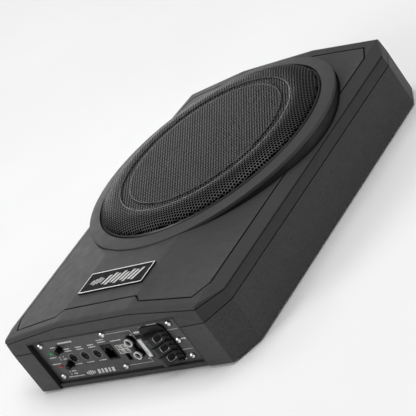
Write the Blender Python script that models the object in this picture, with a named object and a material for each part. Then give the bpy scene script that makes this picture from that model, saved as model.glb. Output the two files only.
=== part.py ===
"""Powered car subwoofer: a low under-seat enclosure with its own amplifier.

Units are metres, +Z up. The front face with the control panel looks towards -Y.
The origin is at the bottom centre of the whole object's bounding box.
"""
import math

import bmesh
import bpy
from mathutils import Matrix, Vector

# ---------------------------------------------------------------- driving dimensions
CASE_WIDTH = 0.280
CASE_LENGTH = 0.372
CHAMFER_X = 0.016            # corner chamfer, along X
CHAMFER_Y = 0.027            # corner chamfer, along Y
FOOT_PROUD = 0.0015          # how far the feet stand below the tray
SEAM_HEIGHT = 0.046          # tray height, up to the joint with the cover
WALL = 0.0028
GAP = 0.0003                 # clearance between pieces that touch

PLATEAU_HEIGHT = 0.0711      # flat middle of the cover, above the tray's underside
PLATEAU_HALF = 0.047
WING_HALF = 0.1246           # where the sloping wing meets the rim
WING_HEIGHT = 0.0627
RIM_HEIGHT = 0.0578          # side edge of the cover
EDGE_ROLL = 0.006            # front and back edges roll off over this length
EDGE_DROP = 0.0019
WALL_DRAFT = 0.0010

RING_OFFSET_Y = 0.0439       # woofer centre, from the middle of the case
RING_RADIUS = 0.1366
RING_INNER = 0.1234
RING_TOP = 0.0720
RING_INNER_TOP = 0.0740
SEAT_RADIUS = RING_RADIUS + GAP
SEAT_HEIGHT = 0.0570         # floor of the round seat in the cover
SEAT_THICK = 0.0025
BAFFLE_HOLE = 0.1180

GRILLE_TOP = 0.0820
GRILLE_THICK = 0.0010
GRILLE_GROOVE_OUT = 0.0947   # pressed ring in the grille
GRILLE_GROOVE_IN = 0.0841
GRILLE_GROOVE_DEPTH = 0.0012

POCKET_LEFT = -0.0988
POCKET_RIGHT = 0.0956
POCKET_TOP = 0.0570
POCKET_DEPTH = 0.0052        # front face to the panel's face
SILL_HEIGHT = 0.0045
SILL_SETBACK = 0.0020
PANEL_THICK = 0.0020
LEDGE_THICK = 0.0030

TERMINAL_PROUD = 0.0110      # terminal block, in front of the panel
BUTTON_TRAVEL = 0.0025

RING_SEGMENTS = 48
INNER_SEGMENTS = 28
HOLE_SEGMENTS = 12

# ---------------------------------------------------------------- values that follow
BASE_Z = FOOT_PROUD
TERMINAL_OVERHANG = TERMINAL_PROUD - POCKET_DEPTH
FRONT_Y = -(CASE_LENGTH - TERMINAL_OVERHANG) / 2
BACK_Y = FRONT_Y + CASE_LENGTH
MIDDLE_Y = (FRONT_Y + BACK_Y) / 2
RING_Y = MIDDLE_Y + RING_OFFSET_Y
PANEL_Y = FRONT_Y + POCKET_DEPTH
PANEL_BACK = PANEL_Y + PANEL_THICK
SEAM_Z = BASE_Z + SEAM_HEIGHT
HALF_W = CASE_WIDTH / 2


def up(height):
    """World Z of a height measured from the tray's underside."""
    return BASE_Z + height


# places on the panel: X and height above the tray's underside
SCREW_SPOTS = (
    ("panel_screw_top_left", -0.0890, 0.0485),
    ("panel_screw_bottom_left", -0.0890, 0.0110),
    ("panel_screw_top_middle", -0.0040, 0.0492),
    ("panel_screw_bottom_middle", -0.0045, 0.0110),
    ("panel_screw_top_right", 0.0800, 0.0486),
    ("panel_screw_middle_right", 0.0775, 0.0297),
    ("panel_screw_bottom_right", 0.0800, 0.0112),
)
LED_X = -0.0825
LED_SPOTS = (("power_led", 0.0381), ("protect_led", 0.0224))
BUTTON_X = -0.0682
BUTTON_SPOTS = (("phase_button", 0.0412), ("level_button", 0.0236))
POT_HEIGHT = 0.0294
POT_SPOTS = (("crossover", -0.0597), ("boost", -0.0435), ("gain", -0.0273))
REMOTE_X = (-0.0177, -0.0037)
REMOTE_Z = (0.0204, 0.0374)
HIGH_X = (0.0005, 0.0153)
HIGH_Z = (0.0250, 0.0355)
RCA_X = 0.0240
RCA_SPOTS = (("upper", 0.0380), ("lower", 0.0233))
FUSE_X = (0.0340, 0.0388)
FUSE_Z = (0.0185, 0.0385)
HOLDER_X = (0.0325, 0.0405)
HOLDER_Z = (0.0160, 0.0410)
BLOCK_Z = (0.0108, 0.0433)
BLOCK_BASE_X = (0.0420, 0.0725)
BLOCK_BASE_Z = (0.0090, 0.0500)
BLOCK_NECK_X = (0.0472, 0.0648)     # the block's body, where it passes through the panel
BLOCK_NECK_Z = (0.0142, 0.0398)
KEY_SLOT_X = (0.0050, 0.0098)       # latch slot under the high-level socket
KEY_SLOT_Z = 0.0168
FUSE_BLADES_Z = ((0.0192, 0.0250), (0.0320, 0.0378))
BEYOND = 0.010                      # how far a cutter runs past what it cuts


# ---------------------------------------------------------------- helpers
def clear_scene():
    for obj in list(bpy.data.objects):
        bpy.data.objects.remove(obj, do_unlink=True)


def material(name, colour, roughness, metallic=0.0):
    found = bpy.data.materials.get(name)
    if found:
        return found
    mat = bpy.data.materials.new(name)
    mat.use_nodes = True
    shader = mat.node_tree.nodes["Principled BSDF"]
    shader.inputs["Base Color"].default_value = (*colour, 1.0)
    shader.inputs["Roughness"].default_value = roughness
    shader.inputs["Metallic"].default_value = metallic
    return mat


def case_plastic():
    return material("case_plastic", (0.085, 0.085, 0.085), 0.55)


def black_plastic():
    return material("black_plastic", (0.012, 0.012, 0.013), 0.4)


def panel_paint():
    return material("panel_paint", (0.09, 0.09, 0.092), 0.5, 0.3)


def steel():
    return material("bright_steel", (0.75, 0.75, 0.76), 0.25, 1.0)


def dark_steel():
    return material("dark_steel", (0.16, 0.16, 0.16), 0.45, 0.9)


def rubber():
    return material("rubber", (0.02, 0.02, 0.02), 0.8)


def board_green():
    return material("circuit_board", (0.02, 0.09, 0.04), 0.5)


def finish_mesh(name, bm, mat, location=(0, 0, 0), rotation=(0, 0, 0), sharp=35.0):
    """Turn a bmesh into a named, smooth-shaded object."""
    bmesh.ops.recalc_face_normals(bm, faces=bm.faces)
    mesh = bpy.data.meshes.new(name)
    bm.to_mesh(mesh)
    bm.free()
    obj = bpy.data.objects.new(name, mesh)
    bpy.context.scene.collection.objects.link(obj)
    obj.location = location
    obj.rotation_euler = rotation
    if mat:
        mesh.materials.append(mat)
    mesh.shade_smooth()
    mesh.set_sharp_from_angle(angle=math.radians(sharp))
    return obj


def boolean(target, tool, operation="DIFFERENCE"):
    """Apply one Boolean to the target's mesh and drop the tool."""
    tool.hide_render = True
    tool.display_type = "WIRE"
    modifier = target.modifiers.new("cut", "BOOLEAN")
    modifier.operation = operation
    modifier.solver = "EXACT"
    modifier.object = tool
    bpy.context.view_layer.update()
    graph = bpy.context.evaluated_depsgraph_get()
    mesh = bpy.data.meshes.new_from_object(target.evaluated_get(graph))
    mesh.name = target.name
    target.modifiers.clear()
    target.data = mesh
    mesh.set_sharp_from_angle(angle=math.radians(35.0))
    bpy.data.objects.remove(tool, do_unlink=True)


def bridge(bm, lower, upper):
    count = len(lower)
    for i in range(count):
        j = (i + 1) % count
        bm.faces.new((lower[i], lower[j], upper[j], upper[i]))


def stack(loops):
    """Close a stack of equal loops of points with a cap at each end."""
    bm = bmesh.new()
    rows = [[bm.verts.new(p) for p in loop] for loop in loops]
    for lower, upper in zip(rows, rows[1:]):
        bridge(bm, lower, upper)
    bm.faces.new(list(reversed(rows[0])))
    bm.faces.new(rows[-1])
    return bm


def box(lo, hi):
    ring = [(lo[0], lo[1]), (hi[0], lo[1]), (hi[0], hi[1]), (lo[0], hi[1])]
    return stack([[(x, y, z) for x, y in ring] for z in (lo[2], hi[2])])


def circle(radius, segments):
    step = 2 * math.pi / segments
    return [(radius * math.cos(i * step), radius * math.sin(i * step)) for i in range(segments)]


def rod_z(radius, z0, z1, segments=HOLE_SEGMENTS, centre=(0, 0)):
    cx, cy = centre
    ring = circle(radius, segments)
    return stack([[(cx + x, cy + y, z) for x, y in ring] for z in (z0, z1)])


def rod_y(radius, y0, y1, segments=HOLE_SEGMENTS, centre=(0, 0)):
    """A rod along Y, centred on X and Z."""
    cx, cz = centre
    ring = circle(radius, segments)
    return stack([[(cx + x, y, cz + z) for x, z in ring] for y in (y0, y1)])


def slab_y(outline, y0, y1):
    """An outline in X and Z, extruded along Y."""
    return stack([[(x, y, z) for x, z in outline] for y in (y0, y1)])


def slab_z(outline, z0, z1):
    return stack([[(x, y, z) for x, y in outline] for z in (z0, z1)])


def turned(profile, segments=INNER_SEGMENTS, closed=True):
    """Turn a profile of (radius, z) points round Z. An open one starts and ends on the axis."""
    bm = bmesh.new()
    rows = []
    for radius, z in profile:
        if radius < 1e-6:
            rows.append([bm.verts.new((0, 0, z))])
        else:
            rows.append([bm.verts.new((x, y, z)) for x, y in circle(radius, segments)])
    pairs = list(zip(rows, rows[1:]))
    if closed:
        pairs.append((rows[-1], rows[0]))
    for lower, upper in pairs:
        if len(lower) == 1 and len(upper) == 1:
            continue
        for i in range(segments):
            j = (i + 1) % segments
            if len(lower) == 1:
                bm.faces.new((lower[0], upper[j], upper[i]))
            elif len(upper) == 1:
                bm.faces.new((lower[i], lower[j], upper[0]))
            else:
                bm.faces.new((lower[i], lower[j], upper[j], upper[i]))
    return bm


def rounded_rectangle(lo, hi, radius, steps=5):
    """Corner points of a rectangle with rounded corners, anticlockwise."""
    corners = (
        (hi[0] - radius, hi[1] - radius, 0),
        (lo[0] + radius, hi[1] - radius, 90),
        (lo[0] + radius, lo[1] + radius, 180),
        (hi[0] - radius, lo[1] + radius, 270),
    )
    points = []
    for cx, cy, start in corners:
        for k in range(steps + 1):
            angle = math.radians(start + 90 * k / steps)
            points.append((cx + radius * math.cos(angle), cy + radius * math.sin(angle)))
    return points


def tool(bm):
    return finish_mesh("cutter", bm, None)


# ---------------------------------------------------------------- case
def case_outline(inset=0.0):
    """The eight-sided plan of the case, moved inwards by inset."""
    x, y = HALF_W - inset, CASE_LENGTH / 2 - inset
    diagonal = math.hypot(CHAMFER_X, CHAMFER_Y)
    # moving the chamfer in by inset shifts where it meets the straight sides
    shift_x = inset * (diagonal - CHAMFER_X) / CHAMFER_Y
    shift_y = inset * (diagonal - CHAMFER_Y) / CHAMFER_X
    cut_x = HALF_W - CHAMFER_X - shift_x
    cut_y = CASE_LENGTH / 2 - CHAMFER_Y - shift_y
    quarter = [(x, -cut_y), (x, cut_y), (cut_x, y), (-cut_x, y)]
    quarter += [(-x, cut_y), (-x, -cut_y), (-cut_x, -y), (cut_x, -y)]
    return [(px, py + MIDDLE_Y) for px, py in quarter]


def outline_at(inset, z):
    return [(x, y, z) for x, y in case_outline(inset)]


LIP_INSET = 0.0014           # the tray's lip stands inside the cover's wall
LIP_HEIGHT = 0.0030
FLOOR = 0.0030
SKIRT_BEVEL = 0.0015
POCKET_WALL = 0.0030


def screw_posts():
    """Corner posts that the case screws pull on."""
    dx, dy = HALF_W - 0.022, CASE_LENGTH / 2 - 0.026
    return [(sx * dx, MIDDLE_Y + sy * dy) for sy in (-1, 1) for sx in (-1, 1)]


def pocket_frame(z0, z1, grow=0.0):
    """Thick wall stretch round the panel's pocket, before the pocket is cut."""
    side = POCKET_WALL + grow
    return box((POCKET_LEFT - side, FRONT_Y + WALL / 2 - grow, z0),
               (POCKET_RIGHT + side, PANEL_BACK + GAP + LEDGE_THICK + grow, z1))


PANEL_TABS = 0.0050          # half width of the material round each panel screw


def cut_pocket(shell, z0, z1):
    """Cut the panel's pocket and the opening behind it, leaving a ledge and the screw tabs."""
    boolean(shell, tool(box((POCKET_LEFT, FRONT_Y - BEYOND, max(z0, up(SILL_HEIGHT))),
                            (POCKET_RIGHT, PANEL_BACK + GAP, up(POCKET_TOP)))))
    opening = tool(box((POCKET_LEFT + 0.005, PANEL_Y, max(z0, up(0.0085)) - BEYOND * (z0 > BASE_Z)),
                       (POCKET_RIGHT - 0.005, PANEL_BACK + 0.02, up(0.0525))))
    low_edge, high_edge = SILL_HEIGHT + 0.012, SEAM_HEIGHT + GAP
    spots = [(x, h) for _, x, h in SCREW_SPOTS if z0 - BASE_Z < h < z1 - BASE_Z]
    for x, height in spots:
        if height < low_edge:
            low, high = -0.01, height + PANEL_TABS
        elif height > high_edge:
            low, high = high_edge - GAP, height + 0.02
        else:
            continue
        boolean(opening, tool(box((x - PANEL_TABS, PANEL_Y - BEYOND, up(low)),
                                  (x + PANEL_TABS, PANEL_BACK + 0.03, up(high)))))
    boolean(shell, opening)
    for x, height in spots:
        boolean(shell, tool(rod_y(0.0018, PANEL_Y, PANEL_BACK + 0.012, 12, (x, up(height)))))


def make_tray():
    loops = [
        outline_at(SKIRT_BEVEL, BASE_Z),
        outline_at(0.0, BASE_Z + SKIRT_BEVEL),
        outline_at(0.0, SEAM_Z - GAP / 2),
        outline_at(LIP_INSET + GAP, SEAM_Z - GAP / 2),
        outline_at(LIP_INSET + GAP, SEAM_Z + LIP_HEIGHT),
        outline_at(WALL + GAP, SEAM_Z + LIP_HEIGHT),
        outline_at(WALL + GAP, up(FLOOR)),
    ]
    tray = finish_mesh("bottom_tray", stack(loops), case_plastic())
    boolean(tray, tool(pocket_frame(up(0.0015), SEAM_Z - GAP / 2)), "UNION")
    boolean(tray, tool(pocket_frame(SEAM_Z - GAP / 2, SEAM_Z + 0.01, GAP)))
    boolean(tray, tool(box((POCKET_LEFT, FRONT_Y - 0.01, -0.01),
                           (POCKET_RIGHT, FRONT_Y + SILL_SETBACK, SEAM_Z + 0.02))))
    cut_pocket(tray, BASE_Z - 0.01, SEAM_Z)
    for x, y in screw_posts():
        boolean(tray, tool(rod_z(0.0022, 0.0, up(FLOOR + 0.001), 16, (x, y))))
        boolean(tray, tool(rod_z(0.0044, -0.001, up(0.0016), 16, (x, y))))
    for x, y in foot_spots():
        boolean(tray, tool(rod_z(FOOT_RADIUS + GAP, -0.001, up(FOOT_SEAT), 24, (x, y))))
    return tray


def roof_loops(inset, drop):
    """Cross-sections of the cover's roof, front to back, as points across X."""
    half = HALF_W - WALL_DRAFT - inset
    rim = RIM_HEIGHT
    stations = [(-half, rim), (-WING_HALF, WING_HEIGHT), (-PLATEAU_HALF, PLATEAU_HEIGHT),
                (PLATEAU_HALF, PLATEAU_HEIGHT), (WING_HALF, WING_HEIGHT), (half, rim)]
    front = FRONT_Y + WALL_DRAFT + inset
    back = BACK_Y - WALL_DRAFT - inset
    rows = [(front, EDGE_DROP), (FRONT_Y + EDGE_ROLL, 0), (BACK_Y - EDGE_ROLL, 0), (back, EDGE_DROP)]
    return [[(x, y, up(z - drop - fall)) for x, z in stations] for y, fall in rows]


def cover_body(inset, drop, floor_z):
    """A closed block with the cover's roof on top and a flat floor, its corners chamfered."""
    bm = bmesh.new()
    roof = [[bm.verts.new(p) for p in row] for row in roof_loops(inset, drop)]
    x, front, back = HALF_W - inset, FRONT_Y + inset, BACK_Y - inset
    last = len(roof[0]) - 1
    base = []
    for row, y in zip(roof, (front, FRONT_Y + EDGE_ROLL, BACK_Y - EDGE_ROLL, back)):
        xs = [-x] + [v.co.x for v in row[1:-1]] + [x]
        base.append([bm.verts.new((px, y, floor_z)) for px in xs])
    for grid, flip in ((roof, False), (base, True)):
        for a, b in zip(grid, grid[1:]):
            for i in range(last):
                quad = (a[i], a[i + 1], b[i + 1], b[i])
                bm.faces.new(tuple(reversed(quad)) if flip else quad)
    for i in range(last):
        bm.faces.new((base[0][i], base[0][i + 1], roof[0][i + 1], roof[0][i]))
        bm.faces.new((base[-1][i + 1], base[-1][i], roof[-1][i], roof[-1][i + 1]))
    for k in range(len(roof) - 1):
        bm.faces.new((base[k + 1][0], base[k][0], roof[k][0], roof[k + 1][0]))
        bm.faces.new((base[k][last], base[k + 1][last], roof[k + 1][last], roof[k][last]))
    outline = case_outline(inset)
    top = up(WING_HEIGHT)
    for a, b in ((1, 2), (3, 4), (5, 6), (7, 0)):
        p, q = Vector((*outline[a], floor_z)), Vector((*outline[b], floor_z))
        across = (q - p).cross(Vector((0, 0, 1))).normalized()
        lean = Vector((0, 0, 1)) - across * (WALL_DRAFT / (top - floor_z))
        normal = (q - p).cross(lean).normalized()
        cut = bmesh.ops.bisect_plane(bm, geom=bm.verts[:] + bm.edges[:] + bm.faces[:], dist=1e-7,
                                     plane_co=p, plane_no=normal, clear_outer=True)
        edges = [e for e in cut["geom_cut"] if isinstance(e, bmesh.types.BMEdge)]
        bmesh.ops.edgenet_fill(bm, edges=edges)
    return bm


def make_cover():
    cover = finish_mesh("top_cover", cover_body(0.0, 0.0, SEAM_Z + GAP / 2), case_plastic())
    hollow = tool(cover_body(WALL, WALL, SEAM_Z - 0.01))
    boolean(hollow, tool(rod_z(SEAT_RADIUS + WALL, up(SEAT_HEIGHT - SEAT_THICK), up(0.1),
                               RING_SEGMENTS, (0, RING_Y))))
    for x, y in screw_posts():
        boolean(hollow, tool(rod_z(0.005, 0.0, up(0.1), 16, (x, y))))
    boolean(cover, hollow)
    lip = slab_z(case_outline(LIP_INSET), SEAM_Z - 0.01, SEAM_Z + LIP_HEIGHT + GAP)
    lip_tool = tool(lip)
    for x, y in screw_posts():
        boolean(lip_tool, tool(rod_z(0.005, -0.1, up(0.1), 16, (x, y))))
    boolean(cover, lip_tool)
    boolean(cover, tool(rod_z(SEAT_RADIUS, up(SEAT_HEIGHT), up(0.1), RING_SEGMENTS, (0, RING_Y))))
    boolean(cover, tool(rod_z(BAFFLE_HOLE, 0.0, up(0.1), RING_SEGMENTS, (0, RING_Y))))
    boolean(cover, tool(pocket_frame(SEAM_Z + GAP / 2, up(POCKET_TOP + WALL))), "UNION")
    cut_pocket(cover, SEAM_Z - 0.01, 1.0)
    for x, y in screw_posts():
        post = rod_z(0.005 - GAP, up(FLOOR + GAP), SEAM_Z + 0.008, 16, (x, y))
        boolean(cover, tool(post), "UNION")
        boolean(cover, tool(rod_z(0.0017, 0.0, up(0.030), 12, (x, y))))
    return cover


# ---------------------------------------------------------------- grille
def make_ring():
    """Trim ring round the grille: a tall outer wall and a shallow sloping top."""
    band = 0.0022
    profile = [
        (RING_RADIUS, up(SEAT_HEIGHT + GAP)),
        (RING_RADIUS, up(RING_TOP - 0.0012)),
        (RING_RADIUS - 0.0012, up(RING_TOP)),
        (RING_INNER + 0.0008, up(RING_INNER_TOP)),
        (RING_INNER, up(RING_INNER_TOP - 0.0008)),
        (RING_INNER, up(RING_INNER_TOP - 0.0008 - band)),
        (RING_RADIUS - 0.0035, up(RING_TOP - 0.0008 - band)),
        (RING_RADIUS - 0.0035, up(SEAT_HEIGHT + GAP)),
    ]
    ring = turned(profile, RING_SEGMENTS)
    return finish_mesh("grille_ring", ring, case_plastic(), location=(0, RING_Y, 0))


def grille_height(radius):
    """Top surface of the domed grille at a radius, above the tray's underside."""
    edge = RING_INNER - GAP
    rise = GRILLE_TOP - RING_INNER_TOP
    shoulder = GRILLE_GROOVE_OUT + 0.004
    if radius >= shoulder:
        t = (edge - radius) / (edge - shoulder)
        return RING_INNER_TOP + rise * math.sin(t * math.pi / 2)
    if GRILLE_GROOVE_IN <= radius <= GRILLE_GROOVE_OUT:
        middle = (GRILLE_GROOVE_OUT + GRILLE_GROOVE_IN) / 2
        half = (GRILLE_GROOVE_OUT - GRILLE_GROOVE_IN) / 2
        return GRILLE_TOP - GRILLE_GROOVE_DEPTH * (1 - ((radius - middle) / half) ** 2)
    return GRILLE_TOP


def make_grille():
    edge = RING_INNER - GAP
    shoulder = GRILLE_GROOVE_OUT + 0.004
    radii = [edge + (shoulder - edge) * k / 3 for k in range(4)]
    radii += [GRILLE_GROOVE_OUT, (GRILLE_GROOVE_OUT + GRILLE_GROOVE_IN) / 2, GRILLE_GROOVE_IN]
    skirt = up(RING_INNER_TOP - 0.0035)
    top = [(edge, skirt)] + [(r, up(grille_height(r))) for r in radii] + [(0, up(GRILLE_TOP))]
    under = [(0, up(GRILLE_TOP) - GRILLE_THICK)]
    under += [(r - GRILLE_THICK, up(grille_height(r)) - GRILLE_THICK) for r in reversed(radii)]
    under += [(edge - GRILLE_THICK, skirt)]
    grille = turned(top + under, RING_SEGMENTS)
    return finish_mesh("grille", grille, dark_steel(), location=(0, RING_Y, 0))


def make_badge():
    """Plain name plate with a raised border, on the flat middle of the cover."""
    width, depth, thick = 0.084, 0.0270, 0.0014
    y = MIDDLE_Y - 0.1335
    outline = rounded_rectangle((-width / 2, y - depth / 2), (width / 2, y + depth / 2), 0.0008, 2)
    z = up(PLATEAU_HEIGHT + GAP)
    plate = finish_mesh("badge_plate", slab_z(outline, z, z + thick), black_plastic())
    inner = rounded_rectangle((0.0012 - width / 2, y + 0.0012 - depth / 2),
                              (width / 2 - 0.0012, y + depth / 2 - 0.0012), 0.0005, 2)
    boolean(plate, tool(slab_z(inner, z + thick - 0.0005, z + thick + 0.01)))
    return plate


# ---------------------------------------------------------------- panel and controls
BUTTON_RADIUS = 0.0029
POT_RADIUS = 0.0037
LED_RADIUS = 0.0015
RCA_BARREL = 0.0049


def make_panel():
    panel = finish_mesh("control_panel", box(
        (POCKET_LEFT + GAP, PANEL_Y, up(SILL_HEIGHT + GAP)),
        (POCKET_RIGHT - GAP, PANEL_BACK, up(POCKET_TOP - GAP))), panel_paint())
    rounds = [(x, h, 0.0018) for _, x, h in SCREW_SPOTS]
    rounds += [(LED_X, h, LED_RADIUS + GAP) for _, h in LED_SPOTS]
    rounds += [(BUTTON_X, h, BUTTON_RADIUS + 2 * GAP) for _, h in BUTTON_SPOTS]
    rounds += [(x, POT_HEIGHT, 0.0042) for _, x in POT_SPOTS]
    rounds += [(RCA_X, h, RCA_BARREL + GAP) for _, h in RCA_SPOTS]
    for x, height, radius in rounds:
        boolean(panel, tool(rod_y(radius, PANEL_Y - BEYOND, PANEL_BACK + BEYOND,
                                  HOLE_SEGMENTS, (x, up(height)))))
    squares = [
        (REMOTE_X[0], REMOTE_Z[0], REMOTE_X[1], REMOTE_Z[1]),
        (HIGH_X[0], HIGH_Z[0], HIGH_X[1], HIGH_Z[1]),
        (KEY_SLOT_X[0], KEY_SLOT_Z, KEY_SLOT_X[1], HIGH_Z[0] + 0.001),
        (HOLDER_X[0], HOLDER_Z[0], HOLDER_X[1], HOLDER_Z[1]),
        (BLOCK_NECK_X[0], BLOCK_NECK_Z[0], BLOCK_NECK_X[1], BLOCK_NECK_Z[1]),
    ]
    for x0, z0, x1, z1 in squares:
        boolean(panel, tool(box((x0 - GAP, PANEL_Y - BEYOND, up(z0) - GAP),
                                (x1 + GAP, PANEL_BACK + BEYOND, up(z1) + GAP))))
    return panel


def pan_head_screw(name, x, height):
    """Panel screw: a domed head with a cross recess, and a plain shank."""
    head, rise, shank = 0.0031, 0.0021, 0.0015
    face = -(GAP + rise)
    profile = [(0, face), (0.0018, face + 0.0001), (0.0027, face + 0.0006),
               (head, face + 0.0013), (head, -GAP), (shank, -GAP), (shank, 0.0048), (0, 0.0048)]
    bm = turned(profile, 12, closed=False)
    bmesh.ops.rotate(bm, verts=bm.verts, matrix=Matrix.Rotation(math.radians(-90), 3, "X"))
    screw = finish_mesh(name, bm, steel())
    for size_x, size_z in ((0.0017, 0.0003), (0.0003, 0.0017)):
        boolean(screw, tool(box((-size_x, face - 0.001, -size_z), (size_x, face + 0.0010, size_z))))
    screw.location = (x, PANEL_Y, up(height))
    return screw


def make_led(name, height, colour):
    radius, dome = LED_RADIUS, 0.0012
    profile = [(0, -dome - 0.0004), (radius * 0.7, -dome), (radius, -0.0003), (radius, 0.0022),
               (radius + 0.0004, 0.0023), (radius + 0.0004, 0.0055), (0, 0.0055)]
    bm = turned(profile, 16, closed=False)
    bmesh.ops.rotate(bm, verts=bm.verts, matrix=Matrix.Rotation(math.radians(-90), 3, "X"))
    return finish_mesh(name, bm, material(name, colour, 0.2), location=(LED_X, PANEL_Y, up(height)))


SWITCH_X = (BUTTON_X - 0.0050, BUTTON_X + 0.0035)
SWITCH_DEPTH = 0.0080


def make_switch_block():
    """One body behind the panel that holds both latching push switches."""
    y0 = PANEL_BACK + GAP
    block = finish_mesh("switch_block", box((SWITCH_X[0], y0, up(0.0185)),
                                            (SWITCH_X[1], y0 + SWITCH_DEPTH, up(0.0463))),
                        black_plastic())
    for _, height in BUTTON_SPOTS:
        boolean(block, tool(rod_y(0.0021, y0 - 0.001, y0 + SWITCH_DEPTH - 0.001, 16,
                                  (BUTTON_X, up(height)))))
    return block


def make_button(name, height):
    """Push button: a domed cap on a stem that runs in the switch body."""
    cap_end = PANEL_THICK - BUTTON_TRAVEL - GAP
    profile = [(0, -0.0062), (0.0020, -0.0062), (BUTTON_RADIUS, -0.0055), (BUTTON_RADIUS, cap_end),
               (0.0017, cap_end), (0.0017, PANEL_THICK + 0.0040), (0, PANEL_THICK + 0.0040)]
    bm = turned(profile, 16, closed=False)
    bmesh.ops.rotate(bm, verts=bm.verts, matrix=Matrix.Rotation(math.radians(-90), 3, "X"))
    return finish_mesh(name, bm, black_plastic(), location=(BUTTON_X, PANEL_Y, up(height)))


def make_pot(name, x):
    """Trimmer control: a square body behind the panel and a slotted rotor that turns in it."""
    half, depth = 0.0048, 0.0070
    y0 = PANEL_BACK + GAP
    body = finish_mesh(name + "_trimmer_body", box(
        (x - half, y0, up(POT_HEIGHT) - half), (x + half, y0 + depth, up(POT_HEIGHT) + half)),
        black_plastic())
    boolean(body, tool(rod_y(POT_RADIUS + GAP, y0 - 0.001, y0 + 0.0045, 24, (x, up(POT_HEIGHT)))))
    profile = [(0, 0.0004), (POT_RADIUS - 0.0006, 0.0004), (POT_RADIUS, 0.0010),
               (POT_RADIUS, PANEL_THICK + 0.0042), (0, PANEL_THICK + 0.0042)]
    bm = turned(profile, 20, closed=False)
    bmesh.ops.rotate(bm, verts=bm.verts, matrix=Matrix.Rotation(math.radians(-90), 3, "X"))
    rotor = finish_mesh(name + "_trimmer_rotor", bm, black_plastic())
    boolean(rotor, tool(box((-0.0026, -0.001, -0.0005), (0.0026, 0.0018, 0.0005))))
    rotor.location = (x, PANEL_Y, up(POT_HEIGHT))


def make_remote_jack():
    """Modular socket for the wired remote, with its latch slot at the top."""
    front = PANEL_Y - 0.0004
    jack = finish_mesh("remote_jack", box((REMOTE_X[0], front, up(REMOTE_Z[0])),
                                          (REMOTE_X[1], PANEL_BACK + 0.0085, up(REMOTE_Z[1]))),
                       black_plastic())
    x = (REMOTE_X[0] + REMOTE_X[1]) / 2
    depth = front + 0.0085
    boolean(jack, tool(box((x - 0.0058, front - 0.001, up(0.0224)), (x + 0.0058, depth, up(0.0308)))))
    boolean(jack, tool(box((x - 0.0032, front - 0.001, up(0.0300)), (x + 0.0032, depth, up(0.0345)))))
    return jack


def make_high_level_socket():
    """Pale four-way socket for the speaker-level input."""
    front = PANEL_Y - 0.0006
    mat = material("pale_nylon", (0.62, 0.62, 0.60), 0.5)
    socket = finish_mesh("high_level_socket", box(
        (HIGH_X[0], front, up(HIGH_Z[0])), (HIGH_X[1], PANEL_BACK + 0.0085, up(HIGH_Z[1]))), mat)
    cx, cz = sum(HIGH_X) / 2, sum(HIGH_Z) / 2
    for sx in (-1, 1):
        for sz in (-1, 1):
            x, z = cx + sx * 0.0034, up(cz + sz * 0.0023)
            boolean(socket, tool(box((x - 0.0021, front - 0.001, z - 0.0016),
                                     (x + 0.0021, front + 0.007, z + 0.0016))))
    return socket


def make_rca():
    """Twin phono housing behind the panel, and the two metal shells."""
    housing = finish_mesh("phono_housing", box(
        (RCA_X - 0.0068, PANEL_BACK + GAP, up(0.0150)),
        (RCA_X + 0.0068, PANEL_BACK + 0.0095, up(0.0455))), black_plastic())
    for side, height in RCA_SPOTS:
        centre = (RCA_X, up(height))
        boolean(housing, tool(rod_y(RCA_BARREL, PANEL_Y - 0.0034, PANEL_BACK + 0.004, 24, centre)),
                "UNION")
        boolean(housing, tool(rod_y(0.00445, PANEL_Y - 0.02, PANEL_BACK + 0.006, 24, centre)))
        profile = [(0.00415, -0.0050), (0.00415, 0.0076), (0.0022, 0.0076), (0.0022, 0.0070),
                   (0.0034, 0.0070), (0.0034, -0.0050)]
        bm = turned(profile, 20)
        bmesh.ops.rotate(bm, verts=bm.verts, matrix=Matrix.Rotation(math.radians(-90), 3, "X"))
        finish_mesh("phono_shell_" + side, bm, steel(), location=(RCA_X, PANEL_Y, up(height)))


def make_fuse():
    """Holder with a slot, and the clear blade fuse that pulls straight out of it."""
    front = PANEL_Y - 0.0010
    holder = finish_mesh("fuse_holder", box((HOLDER_X[0], front, up(HOLDER_Z[0])),
                                            (HOLDER_X[1], PANEL_BACK + 0.0150, up(HOLDER_Z[1]))),
                         black_plastic())
    boolean(holder, tool(box((FUSE_X[0] - GAP, front - 0.001, up(FUSE_Z[0]) - GAP),
                             (FUSE_X[1] + GAP, PANEL_Y + 0.0082, up(FUSE_Z[1]) + GAP))))
    x = sum(FUSE_X) / 2
    for low, high in FUSE_BLADES_Z:
        boolean(holder, tool(box((x - 0.0007, PANEL_Y, up(low) - GAP),
                                 (x + 0.0007, PANEL_Y + 0.0152, up(high) + GAP))))
    fuse = finish_mesh("blade_fuse", box((FUSE_X[0], PANEL_Y - 0.0028, up(FUSE_Z[0])),
                                         (FUSE_X[1], PANEL_Y + 0.0078, up(FUSE_Z[1]))),
                       material("clear_plastic", (0.8, 0.82, 0.83), 0.15))
    for low, high in FUSE_BLADES_Z:
        boolean(fuse, tool(box((x - 0.0004, PANEL_Y + 0.0070, up(low)),
                               (x + 0.0004, PANEL_Y + 0.0145, up(high)))), "UNION")
    return fuse


BLOCK_RIDGE_X = (0.0527, 0.0566)
BLOCK_FOOT_X = (0.0430, 0.0670)
TERMINAL_PITCH = (BLOCK_Z[1] - BLOCK_Z[0]) / 3
TERMINAL_HEIGHTS = [BLOCK_Z[0] + TERMINAL_PITCH * (k + 0.5) for k in range(3)]
TERMINAL_NAMES = ("ground", "remote", "battery")
SLOPE_BASE = 0.0010


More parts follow.
